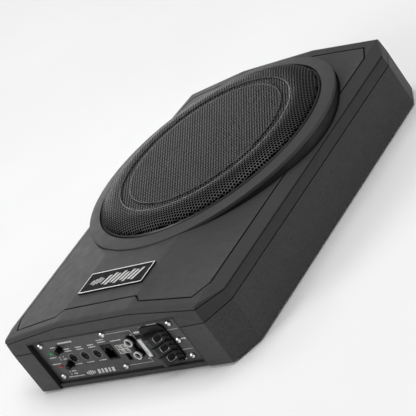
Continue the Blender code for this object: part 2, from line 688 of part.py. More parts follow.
def slope(side):
    """Middle point, in X and Y, and outward direction of a sloping face; side is -1 or 1."""
    ridge = BLOCK_RIDGE_X[0 if side < 0 else 1]
    foot = BLOCK_FOOT_X[0 if side < 0 else 1]
    run = foot - ridge
    fall = TERMINAL_PROUD - SLOPE_BASE
    middle = Vector(((ridge + foot) / 2, PANEL_Y - (TERMINAL_PROUD + SLOPE_BASE) / 2, 0))
    outward = Vector((fall * side, -abs(run), 0)).normalized()
    return middle, outward


def angled(bm, middle, outward, height):
    """Move a bmesh made along +Z so that +Z points outward from a point on the slope."""
    turn = outward.to_track_quat("Z", "Y").to_matrix().to_4x4()
    place = Matrix.Translation((middle.x, middle.y, up(height)))
    bmesh.ops.transform(bm, matrix=place @ turn, verts=bm.verts)
    return bm


def make_terminal_block():
    """Three-way power block with a ridge: wire wells on the right slope, screws on the left."""
    base_front = PANEL_Y - 0.0020
    outline = rounded_rectangle((BLOCK_BASE_X[0], up(BLOCK_BASE_Z[0])),
                                (BLOCK_BASE_X[1], up(BLOCK_BASE_Z[1])), 0.006, 4)
    block = finish_mesh("terminal_block", slab_y(outline, base_front, PANEL_Y - GAP), black_plastic())
    plan = [(BLOCK_FOOT_X[0], PANEL_Y - SLOPE_BASE), (BLOCK_RIDGE_X[0], PANEL_Y - TERMINAL_PROUD),
            (BLOCK_RIDGE_X[1], PANEL_Y - TERMINAL_PROUD), (BLOCK_FOOT_X[1], PANEL_Y - SLOPE_BASE)]
    wedge = slab_z(plan, up(BLOCK_Z[0]), up(BLOCK_Z[1]))
    boolean(block, tool(wedge), "UNION")
    boolean(block, tool(box((BLOCK_NECK_X[0], base_front, up(BLOCK_NECK_Z[0])),
                            (BLOCK_NECK_X[1], PANEL_BACK + 0.0080, up(BLOCK_NECK_Z[1])))), "UNION")
    fin_edges = [BLOCK_Z[0] + TERMINAL_PITCH * k for k in range(4)]
    for height in fin_edges:
        boolean(block, tool(box((0.0650, PANEL_Y - 0.0042, up(height - 0.0007)),
                                (0.0715, PANEL_Y - 0.0010, up(height + 0.0007)))), "UNION")
    for height in fin_edges[1:3]:
        for side in (-1, 1):
            middle, outward = slope(side)
            groove = box((-0.0006, -0.012, -0.0022), (0.0006, 0.012, 0.01))
            turn = Matrix.Rotation(math.atan2(outward.y, outward.x), 4, "Z")
            upright = Matrix(((0, 0, 1, 0), (0, 1, 0, 0), (-1, 0, 0, 0), (0, 0, 0, 1)))
            place = Matrix.Translation((middle.x, middle.y, up(height)))
            bmesh.ops.transform(groove, matrix=place @ turn @ upright, verts=groove.verts)
            boolean(block, tool(groove))
    for height in TERMINAL_HEIGHTS:
        middle, outward = slope(1)
        well = slab_z(rounded_rectangle((-0.0037, -0.0037), (0.0037, 0.0037), 0.0020, 3), -0.0085, 0.01)
        boolean(block, tool(angled(well, middle, outward, height)))
        middle, outward = slope(-1)
        boolean(block, tool(angled(rod_z(0.0027, -0.0052, 0.01, 16), middle, outward, height)))
    return block


def make_terminal_screw(name, height):
    """Slotted set screw in the left slope, its origin on its own axis."""
    middle, outward = slope(-1)
    screw = finish_mesh(name, rod_z(0.0023, -0.0048, -0.0008, 16), steel())
    boolean(screw, tool(box((-0.0019, -0.0004, -0.0016), (0.0019, 0.0004, 0.001))))
    screw.rotation_euler = outward.to_track_quat("Z", "Y").to_euler()
    screw.location = (middle.x, middle.y, up(height))
    return screw


# ---------------------------------------------------------------- amplifier
BOARD_HEIGHT = 0.0100
BOARD_THICK = 0.0016
CONTROL_Y = PANEL_BACK + 0.0100
AMP_Y = (PANEL_BACK + 0.0170, MIDDLE_Y - 0.0920)


def make_boards():
    finish_mesh("control_board", box((-0.0930, CONTROL_Y, up(0.0150)),
                                     (0.0310, CONTROL_Y + BOARD_THICK, up(0.0460))), board_green())
    board = finish_mesh("amplifier_board", box(
        (-0.0950, AMP_Y[0], up(BOARD_HEIGHT)),
        (0.0900, AMP_Y[1], up(BOARD_HEIGHT) + BOARD_THICK)), board_green())
    for sx in (-1, 1):
        for y in (AMP_Y[0] + 0.006, AMP_Y[1] - 0.006):
            boolean(board, tool(rod_z(0.003, up(FLOOR + GAP), up(BOARD_HEIGHT + 0.0002), 12,
                                      (-0.0025 + sx * 0.086, y))), "UNION")


def make_heatsink():
    """Finned aluminium bar along the back edge of the amplifier board."""
    y1 = AMP_Y[1] - 0.002
    z0 = up(BOARD_HEIGHT) + BOARD_THICK + GAP
    length, fins = 0.150, 7
    outline = [(0.0, 0.0), (0.030, 0.0), (0.030, 0.004)]
    for k in range(fins):
        y = 0.030 - k * 0.030 / fins
        outline += [(y, 0.020), (y - 0.0018, 0.020), (y - 0.0018, 0.004)]
        if k < fins - 1:
            outline += [(y - 0.030 / fins, 0.004)]
    outline += [(0.0, 0.004)]
    bm = bmesh.new()
    ends = []
    for x in (-length / 2, length / 2):
        ends.append([bm.verts.new((x, y1 - 0.030 + py, z0 + pz)) for py, pz in outline])
    bridge(bm, ends[0], ends[1])
    bm.faces.new(list(reversed(ends[0])))
    bm.faces.new(ends[1])
    finish_mesh("heatsink", bm, material("aluminium", (0.6, 0.6, 0.62), 0.35, 1.0))


def make_components():
    z0 = up(BOARD_HEIGHT) + BOARD_THICK + GAP
    sleeve = material("capacitor_sleeve", (0.02, 0.03, 0.07), 0.35)
    for name, x in (("capacitor_left", -0.070), ("capacitor_right", -0.044)):
        radius, height = 0.0090, 0.0280
        profile = [(0, z0), (radius, z0), (radius, z0 + height - 0.001),
                   (radius - 0.001, z0 + height), (0, z0 + height)]
        finish_mesh(name, turned(profile, 16, closed=False), sleeve,
                    location=(x, AMP_Y[0] + 0.014, 0))
    major, minor, turns = 0.0105, 0.0050, 8
    profile = []
    for k in range(turns):
        angle = 2 * math.pi * k / turns
        profile.append((major + minor * math.cos(angle), z0 + minor + minor * math.sin(angle)))
    finish_mesh("power_inductor", turned(profile, 16), material("copper", (0.7, 0.32, 0.16), 0.35, 1.0),
                location=(-0.012, AMP_Y[0] + 0.0185, 0))


# ---------------------------------------------------------------- woofer
FLANGE_Z = SEAT_HEIGHT + GAP
FLANGE_THICK = 0.0018
CONE_EDGE = 0.1000
CONE_EDGE_HEIGHT = 0.0600
CONE_NECK = 0.0200
CONE_NECK_HEIGHT = 0.0390
COIL_RADIUS = 0.0190
SPIDER_HEIGHT = 0.0335


def make_basket():
    """Pressed steel frame with windows in its sloping wall."""
    t = 0.0016
    flange = up(FLANGE_Z)
    shelf = up(SPIDER_HEIGHT - 0.002)
    foot = up(0.0263)
    profile = [
        (0.1280, flange), (0.1280, flange + FLANGE_THICK), (0.1135, flange + FLANGE_THICK),
        (0.1080, up(0.0500)), (0.0680, shelf), (0.0560, shelf), (0.0500, foot + t),
        (0.0300, foot + t), (0.0300, foot), (0.0515, foot), (0.0575, shelf - t),
        (0.0690, shelf - t), (0.1100, up(0.0490)), (0.1152, flange),
    ]
    basket = finish_mesh("woofer_basket", turned(profile), dark_steel())
    for k in range(6):
        window = box((0.0740, -0.017, 0.0), (0.1040, 0.017, 0.1))
        bmesh.ops.rotate(window, verts=window.verts,
                         matrix=Matrix.Rotation(math.radians(60 * k + 30), 3, "Z"))
        boolean(basket, tool(window))
    basket.location = (0, RING_Y, 0)
    return basket


def woofer_piece(name, profile, mat, closed=True):
    return finish_mesh(name, turned(profile, INNER_SEGMENTS, closed), mat, location=(0, RING_Y, 0))


def make_motor():
    """Magnet ring between a top plate and a back plate that carries the pole."""
    top = up(0.0260)
    woofer_piece("magnet_top_plate", [(0.0199, top - 0.004), (0.0500, top - 0.004), (0.0500, top),
                                      (0.0199, top)], dark_steel())
    woofer_piece("woofer_magnet", [(0.0270, up(0.0093)), (0.0600, up(0.0093)), (0.0600, up(0.0217)),
                                   (0.0270, up(0.0217))], material("ferrite", (0.05, 0.05, 0.055), 0.6))
    woofer_piece("magnet_back_plate", [(0, up(0.0045)), (0.0520, up(0.0045)), (0.0520, up(0.0090)),
                                       (0.0176, up(0.0090)), (0.0176, up(0.0258)), (0, up(0.0258))],
                 dark_steel(), closed=False)


def cone_height(radius):
    """Upper surface of the cone at a radius: a gentle curve from neck to edge."""
    t = (radius - CONE_NECK) / (CONE_EDGE - CONE_NECK)
    return CONE_NECK_HEIGHT + (CONE_EDGE_HEIGHT - CONE_NECK_HEIGHT) * (1.18 * t - 0.18 * t * t)


def make_moving_parts():
    """Cone, dust cap and voice coil; surround and spider hold them in the basket."""
    paper = material("cone_paper", (0.03, 0.03, 0.032), 0.75)
    thick = 0.0010
    radii = [CONE_EDGE - (CONE_EDGE - CONE_NECK) * k / 3 for k in range(4)]
    upper = [(r, up(cone_height(r))) for r in radii]
    lower = [(r, z - thick) for r, z in reversed(upper)]
    woofer_piece("woofer_cone", upper + lower, paper)
    cap_edge, cap_rise = 0.0320, 0.0090
    cap = []
    for k in range(4):
        t = k / 3
        cap.append((cap_edge * (1 - t), up(cone_height(cap_edge)) + GAP + 0.001
                    + cap_rise * math.sin(t * math.pi / 2)))
    inside = [(max(r - thick, 0.0), z - thick) for r, z in reversed(cap)]
    woofer_piece("dust_cap", cap + inside, paper)
    neck = up(CONE_NECK_HEIGHT + 0.0006)
    woofer_piece("voice_coil", [(0.0184, up(0.0165)), (0.0192, up(0.0165)), (0.0192, neck),
                                (0.0184, neck)], material("coil_former", (0.5, 0.35, 0.2), 0.4, 0.4))


def make_suspension():
    roll_in, roll_out, thick = 0.1015, 0.1165, 0.0008
    seat = up(FLANGE_Z + FLANGE_THICK + GAP)
    inner_z = up(CONE_EDGE_HEIGHT) + GAP
    middle, half = (roll_in + roll_out) / 2, (roll_out - roll_in) / 2
    upper = [(0.1265, seat + thick)]
    for k in range(6):
        angle = math.pi * k / 5
        radius = middle + half * math.cos(angle)
        base = seat + (inner_z - seat) * k / 5
        upper.append((radius, base + thick + 0.0062 * math.sin(angle)))
    upper.append((0.0975, inner_z + thick))
    lower = [(r, z - thick) for r, z in reversed(upper)]
    woofer_piece("woofer_surround", upper + lower, rubber())
    gasket_z = seat + thick + GAP
    woofer_piece("woofer_gasket", [(0.1190, gasket_z), (0.1270, gasket_z), (0.1270, gasket_z + 0.002),
                                   (0.1190, gasket_z + 0.002)], rubber())
    inner, outer, waves = COIL_RADIUS + 0.0005, 0.0660, 3
    top = []
    steps = waves * 2
    for k in range(steps + 1):
        radius = outer - (outer - inner) * k / steps
        wave = 0.0009 if k % 2 else -0.0003
        top.append((radius, up(SPIDER_HEIGHT) + (wave if 0 < k < steps else 0)))
    bottom = [(r, z - 0.0006) for r, z in reversed(top)]
    woofer_piece("spider", top + bottom, material("spider_cloth", (0.55, 0.42, 0.2), 0.85))


# ---------------------------------------------------------------- feet and case screws
FOOT_RADIUS = 0.0080
FOOT_SEAT = 0.0012


def foot_spots():
    dx, dy = HALF_W - 0.024, CASE_LENGTH / 2 - 0.050
    return [(sx * dx, MIDDLE_Y + sy * dy) for sy in (-1, 1) for sx in (-1, 1)]


CORNERS = ("front_left", "front_right", "back_left", "back_right")


def make_feet():
    for corner, (x, y) in zip(CORNERS, foot_spots()):
        top = up(FOOT_SEAT) - GAP
        profile = [(0, 0), (FOOT_RADIUS - 0.0006, 0), (FOOT_RADIUS, 0.0006), (FOOT_RADIUS, top), (0, top)]
        finish_mesh("foot_" + corner, turned(profile, 16, closed=False), rubber(), location=(x, y, 0))


def make_case_screws():
    for corner, (x, y) in zip(CORNERS, screw_posts()):
        head = up(0.0002)
        profile = [(0, head), (0.0040, head), (0.0040, head + 0.0011), (0.0014, head + 0.0011),
                   (0.0014, head + 0.0220), (0, head + 0.0220)]
        finish_mesh("case_screw_" + corner, turned(profile, 10, closed=False), dark_steel(),
                    location=(x, y, 0))


# ---------------------------------------------------------------- build
def main():
    clear_scene()
    make_tray()
    make_cover()
    make_ring()
    make_grille()
    make_badge()
    make_panel()
    for name, x, height in SCREW_SPOTS:
        pan_head_screw(name, x, height)
    for (name, height), colour in zip(LED_SPOTS, ((0.01, 0.35, 0.12), (0.5, 0.01, 0.03))):
        make_led(name, height, colour)
    make_switch_block()
    for name, height in BUTTON_SPOTS:
        make_button(name, height)
    for name, x in POT_SPOTS:
        make_pot(name, x)
    make_remote_jack()
    make_high_level_socket()
    make_rca()
    make_fuse()
    make_terminal_block()
    for name, height in zip(TERMINAL_NAMES, TERMINAL_HEIGHTS):
        make_terminal_screw(name + "_terminal_screw", height)
    make_boards()
    make_heatsink()
    make_components()
    make_basket()
    make_motor()
    make_moving_parts()
    make_suspension()
    make_feet()
    make_case_screws()


main()
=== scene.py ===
"""Powered car subwoofer: the visual model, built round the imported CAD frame.

Units are metres, +Z up, and the control panel faces -Y. Heights are measured from the case's flat
underside, which the feet hold a little above the floor.
"""

import math

import bmesh
import bpy
from mathutils import Matrix, Vector


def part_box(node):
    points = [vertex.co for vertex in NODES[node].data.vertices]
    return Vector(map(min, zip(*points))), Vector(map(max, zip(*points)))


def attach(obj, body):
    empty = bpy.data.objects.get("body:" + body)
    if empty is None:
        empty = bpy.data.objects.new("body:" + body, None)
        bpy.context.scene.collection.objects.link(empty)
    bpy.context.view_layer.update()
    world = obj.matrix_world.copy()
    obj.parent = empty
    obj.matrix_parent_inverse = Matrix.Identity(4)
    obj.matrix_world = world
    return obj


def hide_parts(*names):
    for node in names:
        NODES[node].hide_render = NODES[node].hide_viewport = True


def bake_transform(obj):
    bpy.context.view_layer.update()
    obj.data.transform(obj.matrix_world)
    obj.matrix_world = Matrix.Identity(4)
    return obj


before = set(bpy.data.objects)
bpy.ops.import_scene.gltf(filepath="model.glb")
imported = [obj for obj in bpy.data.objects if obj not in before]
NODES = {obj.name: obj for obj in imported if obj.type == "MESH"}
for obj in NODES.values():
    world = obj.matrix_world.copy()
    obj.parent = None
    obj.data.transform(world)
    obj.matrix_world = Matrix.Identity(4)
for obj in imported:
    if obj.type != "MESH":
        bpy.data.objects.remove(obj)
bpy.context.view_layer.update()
MM = 0.001

# ---------------------------------------------------------------- sizes read from the frame
tray_low, tray_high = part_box("bottom_tray")
ring_low, ring_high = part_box("grille_ring")
grille_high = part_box("grille")[1]
panel_low, panel_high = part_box("control_panel")
badge_low, badge_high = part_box("badge_plate")
block_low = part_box("terminal_block")[0]

BASE_Z = tray_low.z
HALF_W = tray_high.x
FRONT_Y, BACK_Y = tray_low.y, tray_high.y
MIDDLE_Y = (FRONT_Y + BACK_Y) / 2
HALF_L = (BACK_Y - FRONT_Y) / 2
RING_Y = (ring_low.y + ring_high.y) / 2
RING_RADIUS = ring_high.x
RING_INNER_TOP = ring_high.z
GRILLE_EDGE = grille_high.x
GRILLE_TOP = grille_high.z
PANEL_Y, PANEL_BACK = panel_low.y, panel_high.y
PLATEAU_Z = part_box("top_cover")[1].z

# ---------------------------------------------------------------- shape of the case
GAP = 0.3 * MM
REACH = 10 * MM  # how far a cutter runs past the wall that it cuts
WALL = 2.8 * MM
CHAMFER_X, CHAMFER_Y = 16 * MM, 27 * MM
SEAM_Z = BASE_Z + 46 * MM
PLATEAU_HALF = 47 * MM
WING_HALF, WING_Z = 124.6 * MM, BASE_Z + 62.7 * MM
RIM_Z = BASE_Z + 57.8 * MM
EDGE_ROLL, EDGE_DROP = 6 * MM, 1.9 * MM
DRAFT = 1 * MM
SEAT_RADIUS, SEAT_Z, SEAT_THICK = RING_RADIUS + GAP, BASE_Z + 57 * MM, 2.5 * MM
BAFFLE_HOLE = 118 * MM
POCKET_X = (panel_low.x - GAP, panel_high.x + GAP)
POCKET_TOP = panel_high.z + GAP
SILL_Z, SILL_SETBACK = panel_low.z - GAP, 2 * MM
LIP_INSET, LIP_HEIGHT = 1.4 * MM, 3 * MM
FLOOR_Z = BASE_Z + 3 * MM
GROOVE_WIDTH, GROOVE_DEPTH = 1.8 * MM, 2.1 * MM
CORNERS = ("front_left", "front_right", "back_left", "back_right")


def up(height):
    """World Z of a height above the case's underside."""
    return BASE_Z + height


def centre(node):
    low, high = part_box(node)
    return (low + high) / 2


# ---------------------------------------------------------------- materials
def shade(colour, factor):
    return tuple(c * factor for c in colour)


class Nodes:
    """Short spellings for building one material's node tree."""

    def __init__(self, name, colour, roughness, metallic=0.0, **sockets):
        self.mat = bpy.data.materials.new(name)
        self.mat.use_nodes = True
        self.tree = self.mat.node_tree
        self.shader = self.tree.nodes["Principled BSDF"]
        self.base = colour
        uniform = {"Base Color": colour, "Roughness": roughness, "Metallic": metallic}
        self.feed(self.shader, {**uniform, **sockets})
        self.coords = self.add("ShaderNodeTexCoord").outputs["Object"]

    def feed(self, node, inputs):
        """Link or set each named input."""
        for key, value in inputs.items():
            socket = node.inputs[key]
            if isinstance(value, bpy.types.NodeSocket):
                self.tree.links.new(value, socket)
            else:
                socket.default_value = (*value, 1) if socket.type == "RGBA" else value

    def add(self, kind, inputs=None, **props):
        node = self.tree.nodes.new(kind)
        for key, value in props.items():
            setattr(node, key, value)
        self.feed(node, inputs or {})
        return node

    def finish(self, colour, rough=None, normal=None):
        links = {"Base Color": colour, "Roughness": rough, "Normal": normal}
        self.feed(self.shader, {key: source for key, source in links.items() if source})
        return self.mat

    def stretched(self, scale):
        return self.add("ShaderNodeMapping", {"Vector": self.coords, "Scale": scale}).outputs[0]

    def noise(self, scale, detail=3.0, vector=None, rough=0.55):
        return self.add("ShaderNodeTexNoise", {"Vector": vector or self.coords, "Scale": scale,
                                               "Detail": detail, "Roughness": rough}).outputs["Fac"]

    def cells(self, scale, feature="F1", vector=None):
        return self.add("ShaderNodeTexVoronoi", {"Vector": vector or self.coords, "Scale": scale},
                        feature=feature).outputs["Distance"]

    def waves(self, scale, axis, distortion=0.0):
        inputs = {"Vector": self.coords, "Scale": scale, "Distortion": distortion}
        return self.add("ShaderNodeTexWave", inputs, bands_direction=axis).outputs["Fac"]

    def ramp(self, source, *stops):
        node = self.add("ShaderNodeValToRGB", {"Fac": source})
        ramp = node.color_ramp
        while len(ramp.elements) < len(stops):
            ramp.elements.new(0.5)
        for element, (place, colour) in zip(ramp.elements, stops):
            element.position = place
            element.color = (*colour, 1)
        return node.outputs["Color"]

    def shades(self, source, *stops):
        """Ramp through multiples of the material's own colour."""
        return self.ramp(source, *[(place, shade(self.base, factor)) for place, factor in stops])

    def remap(self, source, low, high, start=0.3, end=0.7):
        return self.add("ShaderNodeMapRange", {"Value": source, "From Min": start, "From Max": end,
                                               "To Min": low, "To Max": high}).outputs[0]

    def haze(self, scale, detail, low, high):
        return self.remap(self.noise(scale, detail), low, high)

    def product(self, a, b):
        return self.add("ShaderNodeMath", {0: a, 1: b}, operation="MULTIPLY").outputs[0]

    def mix(self, factor, a, b):
        return self.add("ShaderNodeMix", {0: factor, 6: a, 7: b}, data_type="RGBA").outputs[2]

    def bump(self, height, distance, strength, normal=None):
        inputs = {"Height": height, "Distance": distance, "Strength": strength}
        return self.add("ShaderNodeBump", {**inputs, "Normal": normal} if normal else inputs).outputs[0]

    def worn_edges(self, body, factor, low=0.53, high=0.62):
        """Mix towards a paler colour on the sharp convex edges."""
        sharp = self.add("ShaderNodeNewGeometry").outputs["Pointiness"]
        broken = self.product(self.remap(sharp, 0.0, 1.0, low, high),
                              self.remap(self.noise(420), 0.2, 1.0, 0.35, 0.6))
        return self.mix(broken, body, shade(self.base, factor))

    def painted_crevice_shade(self, unshaded, factor, reach=2.6 * MM, low=0.3, high=0.75):
        """Painted shade: darken narrow gaps and corners by their ambient occlusion, where shade falls."""
        air = self.add("ShaderNodeAmbientOcclusion", {"Distance": reach}, samples=6).outputs["AO"]
        return self.mix(self.remap(air, 0.0, 1.0, low, high), shade(self.base, factor), unshaded)


def moulded(name, colour, roughness, grain):
    """Injection-moulded plastic: spark-eroded grain, slightly rubbed edges, and painted shade in the corners.
    """
    n = Nodes(name, colour, roughness, **{"Specular IOR Level": 0.3})
    fine = n.noise(grain, 4)
    cloud = n.mix(n.haze(16, 2, 0.0, 0.35), n.shades(fine, (0.32, 0.88), (0.68, 1.12)), shade(colour, 1.1))
    pits = n.bump(n.cells(grain * 0.9, "SMOOTH_F1"), 0.03 * MM, 0.5)
    rough = n.haze(90, 4, roughness - 0.05, roughness + 0.06)
    return n.finish(n.painted_crevice_shade(n.worn_edges(cloud, 1.6), 0.12), rough, n.bump(fine, 0.03 * MM, 0.6, pits))


def glossy_moulding(name, colour, roughness, scratch=0.004 * MM, specular=0.3):
    """Smoother moulded part: faint flow marks and handling haze."""
    n = Nodes(name, colour, roughness, **{"Specular IOR Level": specular})
    return n.finish(n.worn_edges(n.shades(n.noise(240, 3), (0.3, 0.8), (0.7, 1.25)), 2.0),
                    n.haze(160, 5, roughness - 0.08, roughness + 0.1), n.bump(n.noise(900, 3), scratch, 0.4))


def coated_metal(name, colour, roughness, peel=0.02 * MM, metallic=0.0, specular=0.5, holes=False):
    """Powder coat or paint: orange peel and pale specks. In a sheet of holes, painted shade darkens the hole
    walls.
    """
    n = Nodes(name, colour, roughness, metallic, **{"Specular IOR Level": specular})
    specks = n.shades(n.noise(2600, 2), (0.3, 0.85), (0.62, 1), (0.8, 1.5))
    body = n.painted_crevice_shade(specks, 0.08, 1.2 * MM, 0.55, 0.9) if holes else n.worn_edges(specks, 1.8)
    rough = n.haze(300, 3, roughness - 0.05, roughness + 0.07)
    return n.finish(body, rough, n.bump(n.noise(700, 3), peel, 0.5))


def plated(name, colour, roughness):
    """Plated metal with fine drawn lines, cloudy roughness and painted shade in its crevices."""
    n = Nodes(name, colour, roughness, 1.0)
    lines = n.noise(6, 5, n.stretched((60, 900, 900)))
    cloud = n.mix(n.haze(220, 3, 0, 0.5), colour, shade(colour, 0.8))
    return n.finish(n.painted_crevice_shade(cloud, 0.03), n.remap(lines, roughness - 0.06, roughness + 0.12),
                    n.bump(lines, 0.006 * MM, 0.5))


def speckled(name, colour, roughness, speck, haze, grain=None, **sockets):
    """A noise each for colour (scale, detail, stops), roughness (scale, detail, low, high) and bump."""
    n = Nodes(name, colour, roughness, **sockets)
    normal = n.bump(n.noise(*grain[:2]), *grain[2:]) if grain else None
    return n.finish(n.shades(n.noise(*speck[:2]), *speck[2:]), n.haze(*haze), normal)


def lens(name, colour, glow):
    return speckled(name, colour, 0.12, (900, 3, (0.3, 0.8), (0.7, 1.2)), (500, 3, 0.08, 0.2),
                    **{"Transmission Weight": 0.45, "IOR": 1.49, "Emission Color": colour,
                       "Emission Strength": glow})


def solder_mask(name):
    """Green board with tracks just under the lacquer."""
    green, track = (0.012, 0.075, 0.03), (0.03, 0.16, 0.06)
    n = Nodes(name, green, 0.35)
    cells = n.cells(170, "DISTANCE_TO_EDGE", n.stretched((1, 0.6, 1)))
    tracks = n.ramp(cells, (0.0, green), (0.10, green), (0.13, track), (1.0, shade(track, 0.9)))
    return n.finish(tracks, n.haze(300, 2, 0.25, 0.4), n.bump(cells, 0.03 * MM, 0.4))


def wound_wire(name, colour, count):
    """Enamelled wire: even turns, round the object's own Z axis."""
    n = Nodes(name, colour, 0.3, 1.0)
    turns = n.waves(count, "Z", 0.4)
    return n.finish(n.shades(turns, (0.1, 0.35), (0.5, 1)), n.haze(400, 3, 0.25, 0.4),
                    n.bump(turns, 0.1 * MM, 0.8))


def woven(name, colour, pitch, stiff=0.85, specular=0.5):
    """Plain weave from two crossed waves, dipped in resin."""
    n = Nodes(name, colour, stiff, **{"Specular IOR Level": specular})
    weave = n.product(n.waves(pitch, "X", 0.6), n.waves(pitch, "Y", 0.6))
    return n.finish(n.shades(weave, (0.05, 0.45), (0.6, 1)), n.haze(200, 3, stiff - 0.1, stiff + 0.05),
                    n.bump(weave, 0.15 * MM, 0.9))


def pressed_fibre(name, colour):
    """Paper cone: matted fibres with a slight sheen."""
    n = Nodes(name, colour, 0.7)
    fibres = n.noise(60, 6, n.stretched((14, 3, 3)), 0.7)
    return n.finish(n.shades(fibres, (0.3, 0.6), (0.55, 1), (0.8, 2.2)), n.remap(fibres, 0.6, 0.8),
                    n.bump(fibres, 0.08 * MM, 0.7))


def extruded(name, colour):
    """Bare aluminium with die lines along X."""
    n = Nodes(name, colour, 0.35, 1.0)
    lines = n.noise(9, 4, n.stretched((6, 420, 420)))
    return n.finish(n.shades(lines, (0.25, 0.7), (0.7, 1)), n.remap(lines, 0.28, 0.5),
                    n.bump(lines, 0.02 * MM, 0.6))


def cast_ferrite(name, colour):
    n = Nodes(name, colour, 0.55, 0.2)
    pits = n.cells(600)
    return n.finish(n.shades(pits, (0.0, 0.5), (0.3, 1), (0.8, 1.4)), n.haze(150, 4, 0.45, 0.68),
                    n.bump(pits, 0.1 * MM, 0.6))


def shrink_sleeve(name, colour):
    """Capacitor sleeve: dark film with pale bars down one side."""
    n = Nodes(name, colour, 0.3)
    return n.finish(n.ramp(n.waves(45, "X"), (0.90, colour), (0.94, (0.45, 0.45, 0.42))),
                    n.haze(200, 3, 0.22, 0.36), n.bump(n.noise(300, 2), 0.05 * MM, 0.4))


CASE = moulded("case_plastic", (0.031, 0.031, 0.0315), 0.58, 1800)
RING_PLASTIC = moulded("ring_plastic", (0.042, 0.042, 0.0425), 0.56, 1700)
GRILLE = coated_metal("grille_steel", (0.044, 0.044, 0.045), 0.34, specular=0.42, holes=True)
BADGE = glossy_moulding("badge_black", (0.005, 0.005, 0.0055), 0.55, 0.002 * MM, 0.04)
PANEL = coated_metal("panel_paint", (0.033, 0.033, 0.0335), 0.5, 0.012 * MM)
BLACK = glossy_moulding("black_plastic", (0.005, 0.005, 0.0055), 0.42, 0.004 * MM, 0.14)
TERMINAL = glossy_moulding("terminal_plastic", (0.017, 0.017, 0.0175), 0.38)
NYLON = glossy_moulding("pale_nylon", (0.24, 0.24, 0.23), 0.45)
PHONO_CORES = {"upper": glossy_moulding("insulator_grey", (0.035, 0.035, 0.036), 0.35),
               "lower": glossy_moulding("insulator_dark", (0.030, 0.030, 0.031), 0.35)}
STEEL = plated("bright_steel", (0.80, 0.80, 0.81), 0.22)
INK = speckled("white_ink", (0.60, 0.60, 0.59), 0.5, (2400, 3, (0.3, 0.72), (0.6, 1)), (600, 2, 0.42, 0.58),
               (3000, 2, 0.004 * MM, 0.4))
SILVER = coated_metal("badge_silver", (0.62, 0.62, 0.63), 0.35, 0.004 * MM, 0.2)
TINNED = coated_metal("tinned_cage", (0.68, 0.68, 0.68), 0.35, 0.01 * MM, 0.3)
GREEN = lens("led_green", (0.02, 0.42, 0.17), 0.12)
RED = lens("led_red", (0.50, 0.01, 0.05), 0.10)
CLEAR = speckled("clear_fuse", (0.90, 0.92, 0.92), 0.14, (260, 2, (0.34, 0.66), (0.6, 1)), (300, 3, 0.1, 0.3),
                 (260, 2, 0.05 * MM, 0.4), **{"Transmission Weight": 0.3, "IOR": 1.49})
RUBBER = speckled("soft_rubber", (0.008, 0.008, 0.008), 0.75, (500, 4, (0.3, 0.7), (0.7, 1.5)),
                  (70, 3, 0.66, 0.84), (1800, 2, 0.03 * MM, 0.5))
GOLD = plated("gold_contact", (0.85, 0.62, 0.26), 0.25)
BOARD = solder_mask("circuit_board")
ALUMINIUM = extruded("heatsink_aluminium", (0.62, 0.62, 0.64))
SLEEVE = shrink_sleeve("capacitor_sleeve", (0.012, 0.016, 0.04))
COPPER = wound_wire("copper", (0.72, 0.32, 0.14), 260)
MOTOR = coated_metal("motor_steel", (0.03, 0.03, 0.03), 0.4)
FERRITE = cast_ferrite("ferrite", (0.05, 0.05, 0.055))
FORMER = wound_wire("coil_former", (0.55, 0.36, 0.18), 480)
CLOTH = woven("spider_cloth", (0.50, 0.36, 0.13), 900)
PAPER = pressed_fibre("cone_paper", (0.020, 0.020, 0.021))
# Near-black cloth, laid under the grille and behind the latch hole: painted shade seen through the holes and
# the opening.
SHADE_CLOTH = woven("grille_shade_cloth", (0.003, 0.003, 0.003), 1400, 0.95, 0.02)


# ---------------------------------------------------------------- mesh helpers
def sharpened(obj, degrees):
    obj.data.set_sharp_from_angle(angle=math.radians(degrees))
    return obj


def object_from(bm, name, mat, sharp=35.0):
    bmesh.ops.recalc_face_normals(bm, faces=bm.faces)
    mesh = bpy.data.meshes.new(name)
    bm.to_mesh(mesh)
    bm.free()
    obj = bpy.data.objects.new(name, mesh)
    bpy.context.scene.collection.objects.link(obj)
    if mat:
        mesh.materials.append(mat)
    mesh.shade_smooth()
    return sharpened(obj, sharp)


def applied(obj):
    """Replace an object's mesh by its modified mesh."""
    bpy.context.view_layer.update()
    graph = bpy.context.evaluated_depsgraph_get()
    mesh = bpy.data.meshes.new_from_object(obj.evaluated_get(graph))
    mesh.name = obj.name
    obj.modifiers.clear()
    obj.data = mesh
    return obj


def boolean(obj, bm, operation="DIFFERENCE"):
    tool = object_from(bm, "tool", None)
    modifier = obj.modifiers.new("cut", "BOOLEAN")
    modifier.operation, modifier.solver, modifier.object = operation, "EXACT", tool
    applied(obj)
    bpy.data.objects.remove(tool, do_unlink=True)
    return obj


def bevel(obj, width, segments=3, angle=30.0):
    modifier = obj.modifiers.new("bevel", "BEVEL")
    modifier.width, modifier.segments = width, segments
    modifier.limit_method, modifier.angle_limit = "ANGLE", math.radians(angle)
    return applied(obj)


def even_shading(obj, flat_area=60 * MM * MM, crease=3.0, sharp=38.0):
    """Big flat faces stay flat and creased against each other; small rounded ones blend in."""
    bm = bmesh.new()
    bm.from_mesh(obj.data)
    for edge in bm.edges:
        if len(edge.link_faces) != 2:
            continue
        angle = math.degrees(edge.calc_face_angle(0.0))
        small = min(f.calc_area() for f in edge.link_faces)
        edge.smooth = not (angle > sharp or (angle > crease and small > flat_area))
    for face in bm.faces:
        face.smooth = True
    bm.to_mesh(obj.data)
    bm.free()
    modifier = obj.modifiers.new("weighted", "WEIGHTED_NORMAL")
    modifier.keep_sharp, modifier.weight = True, 60
    return applied(obj)


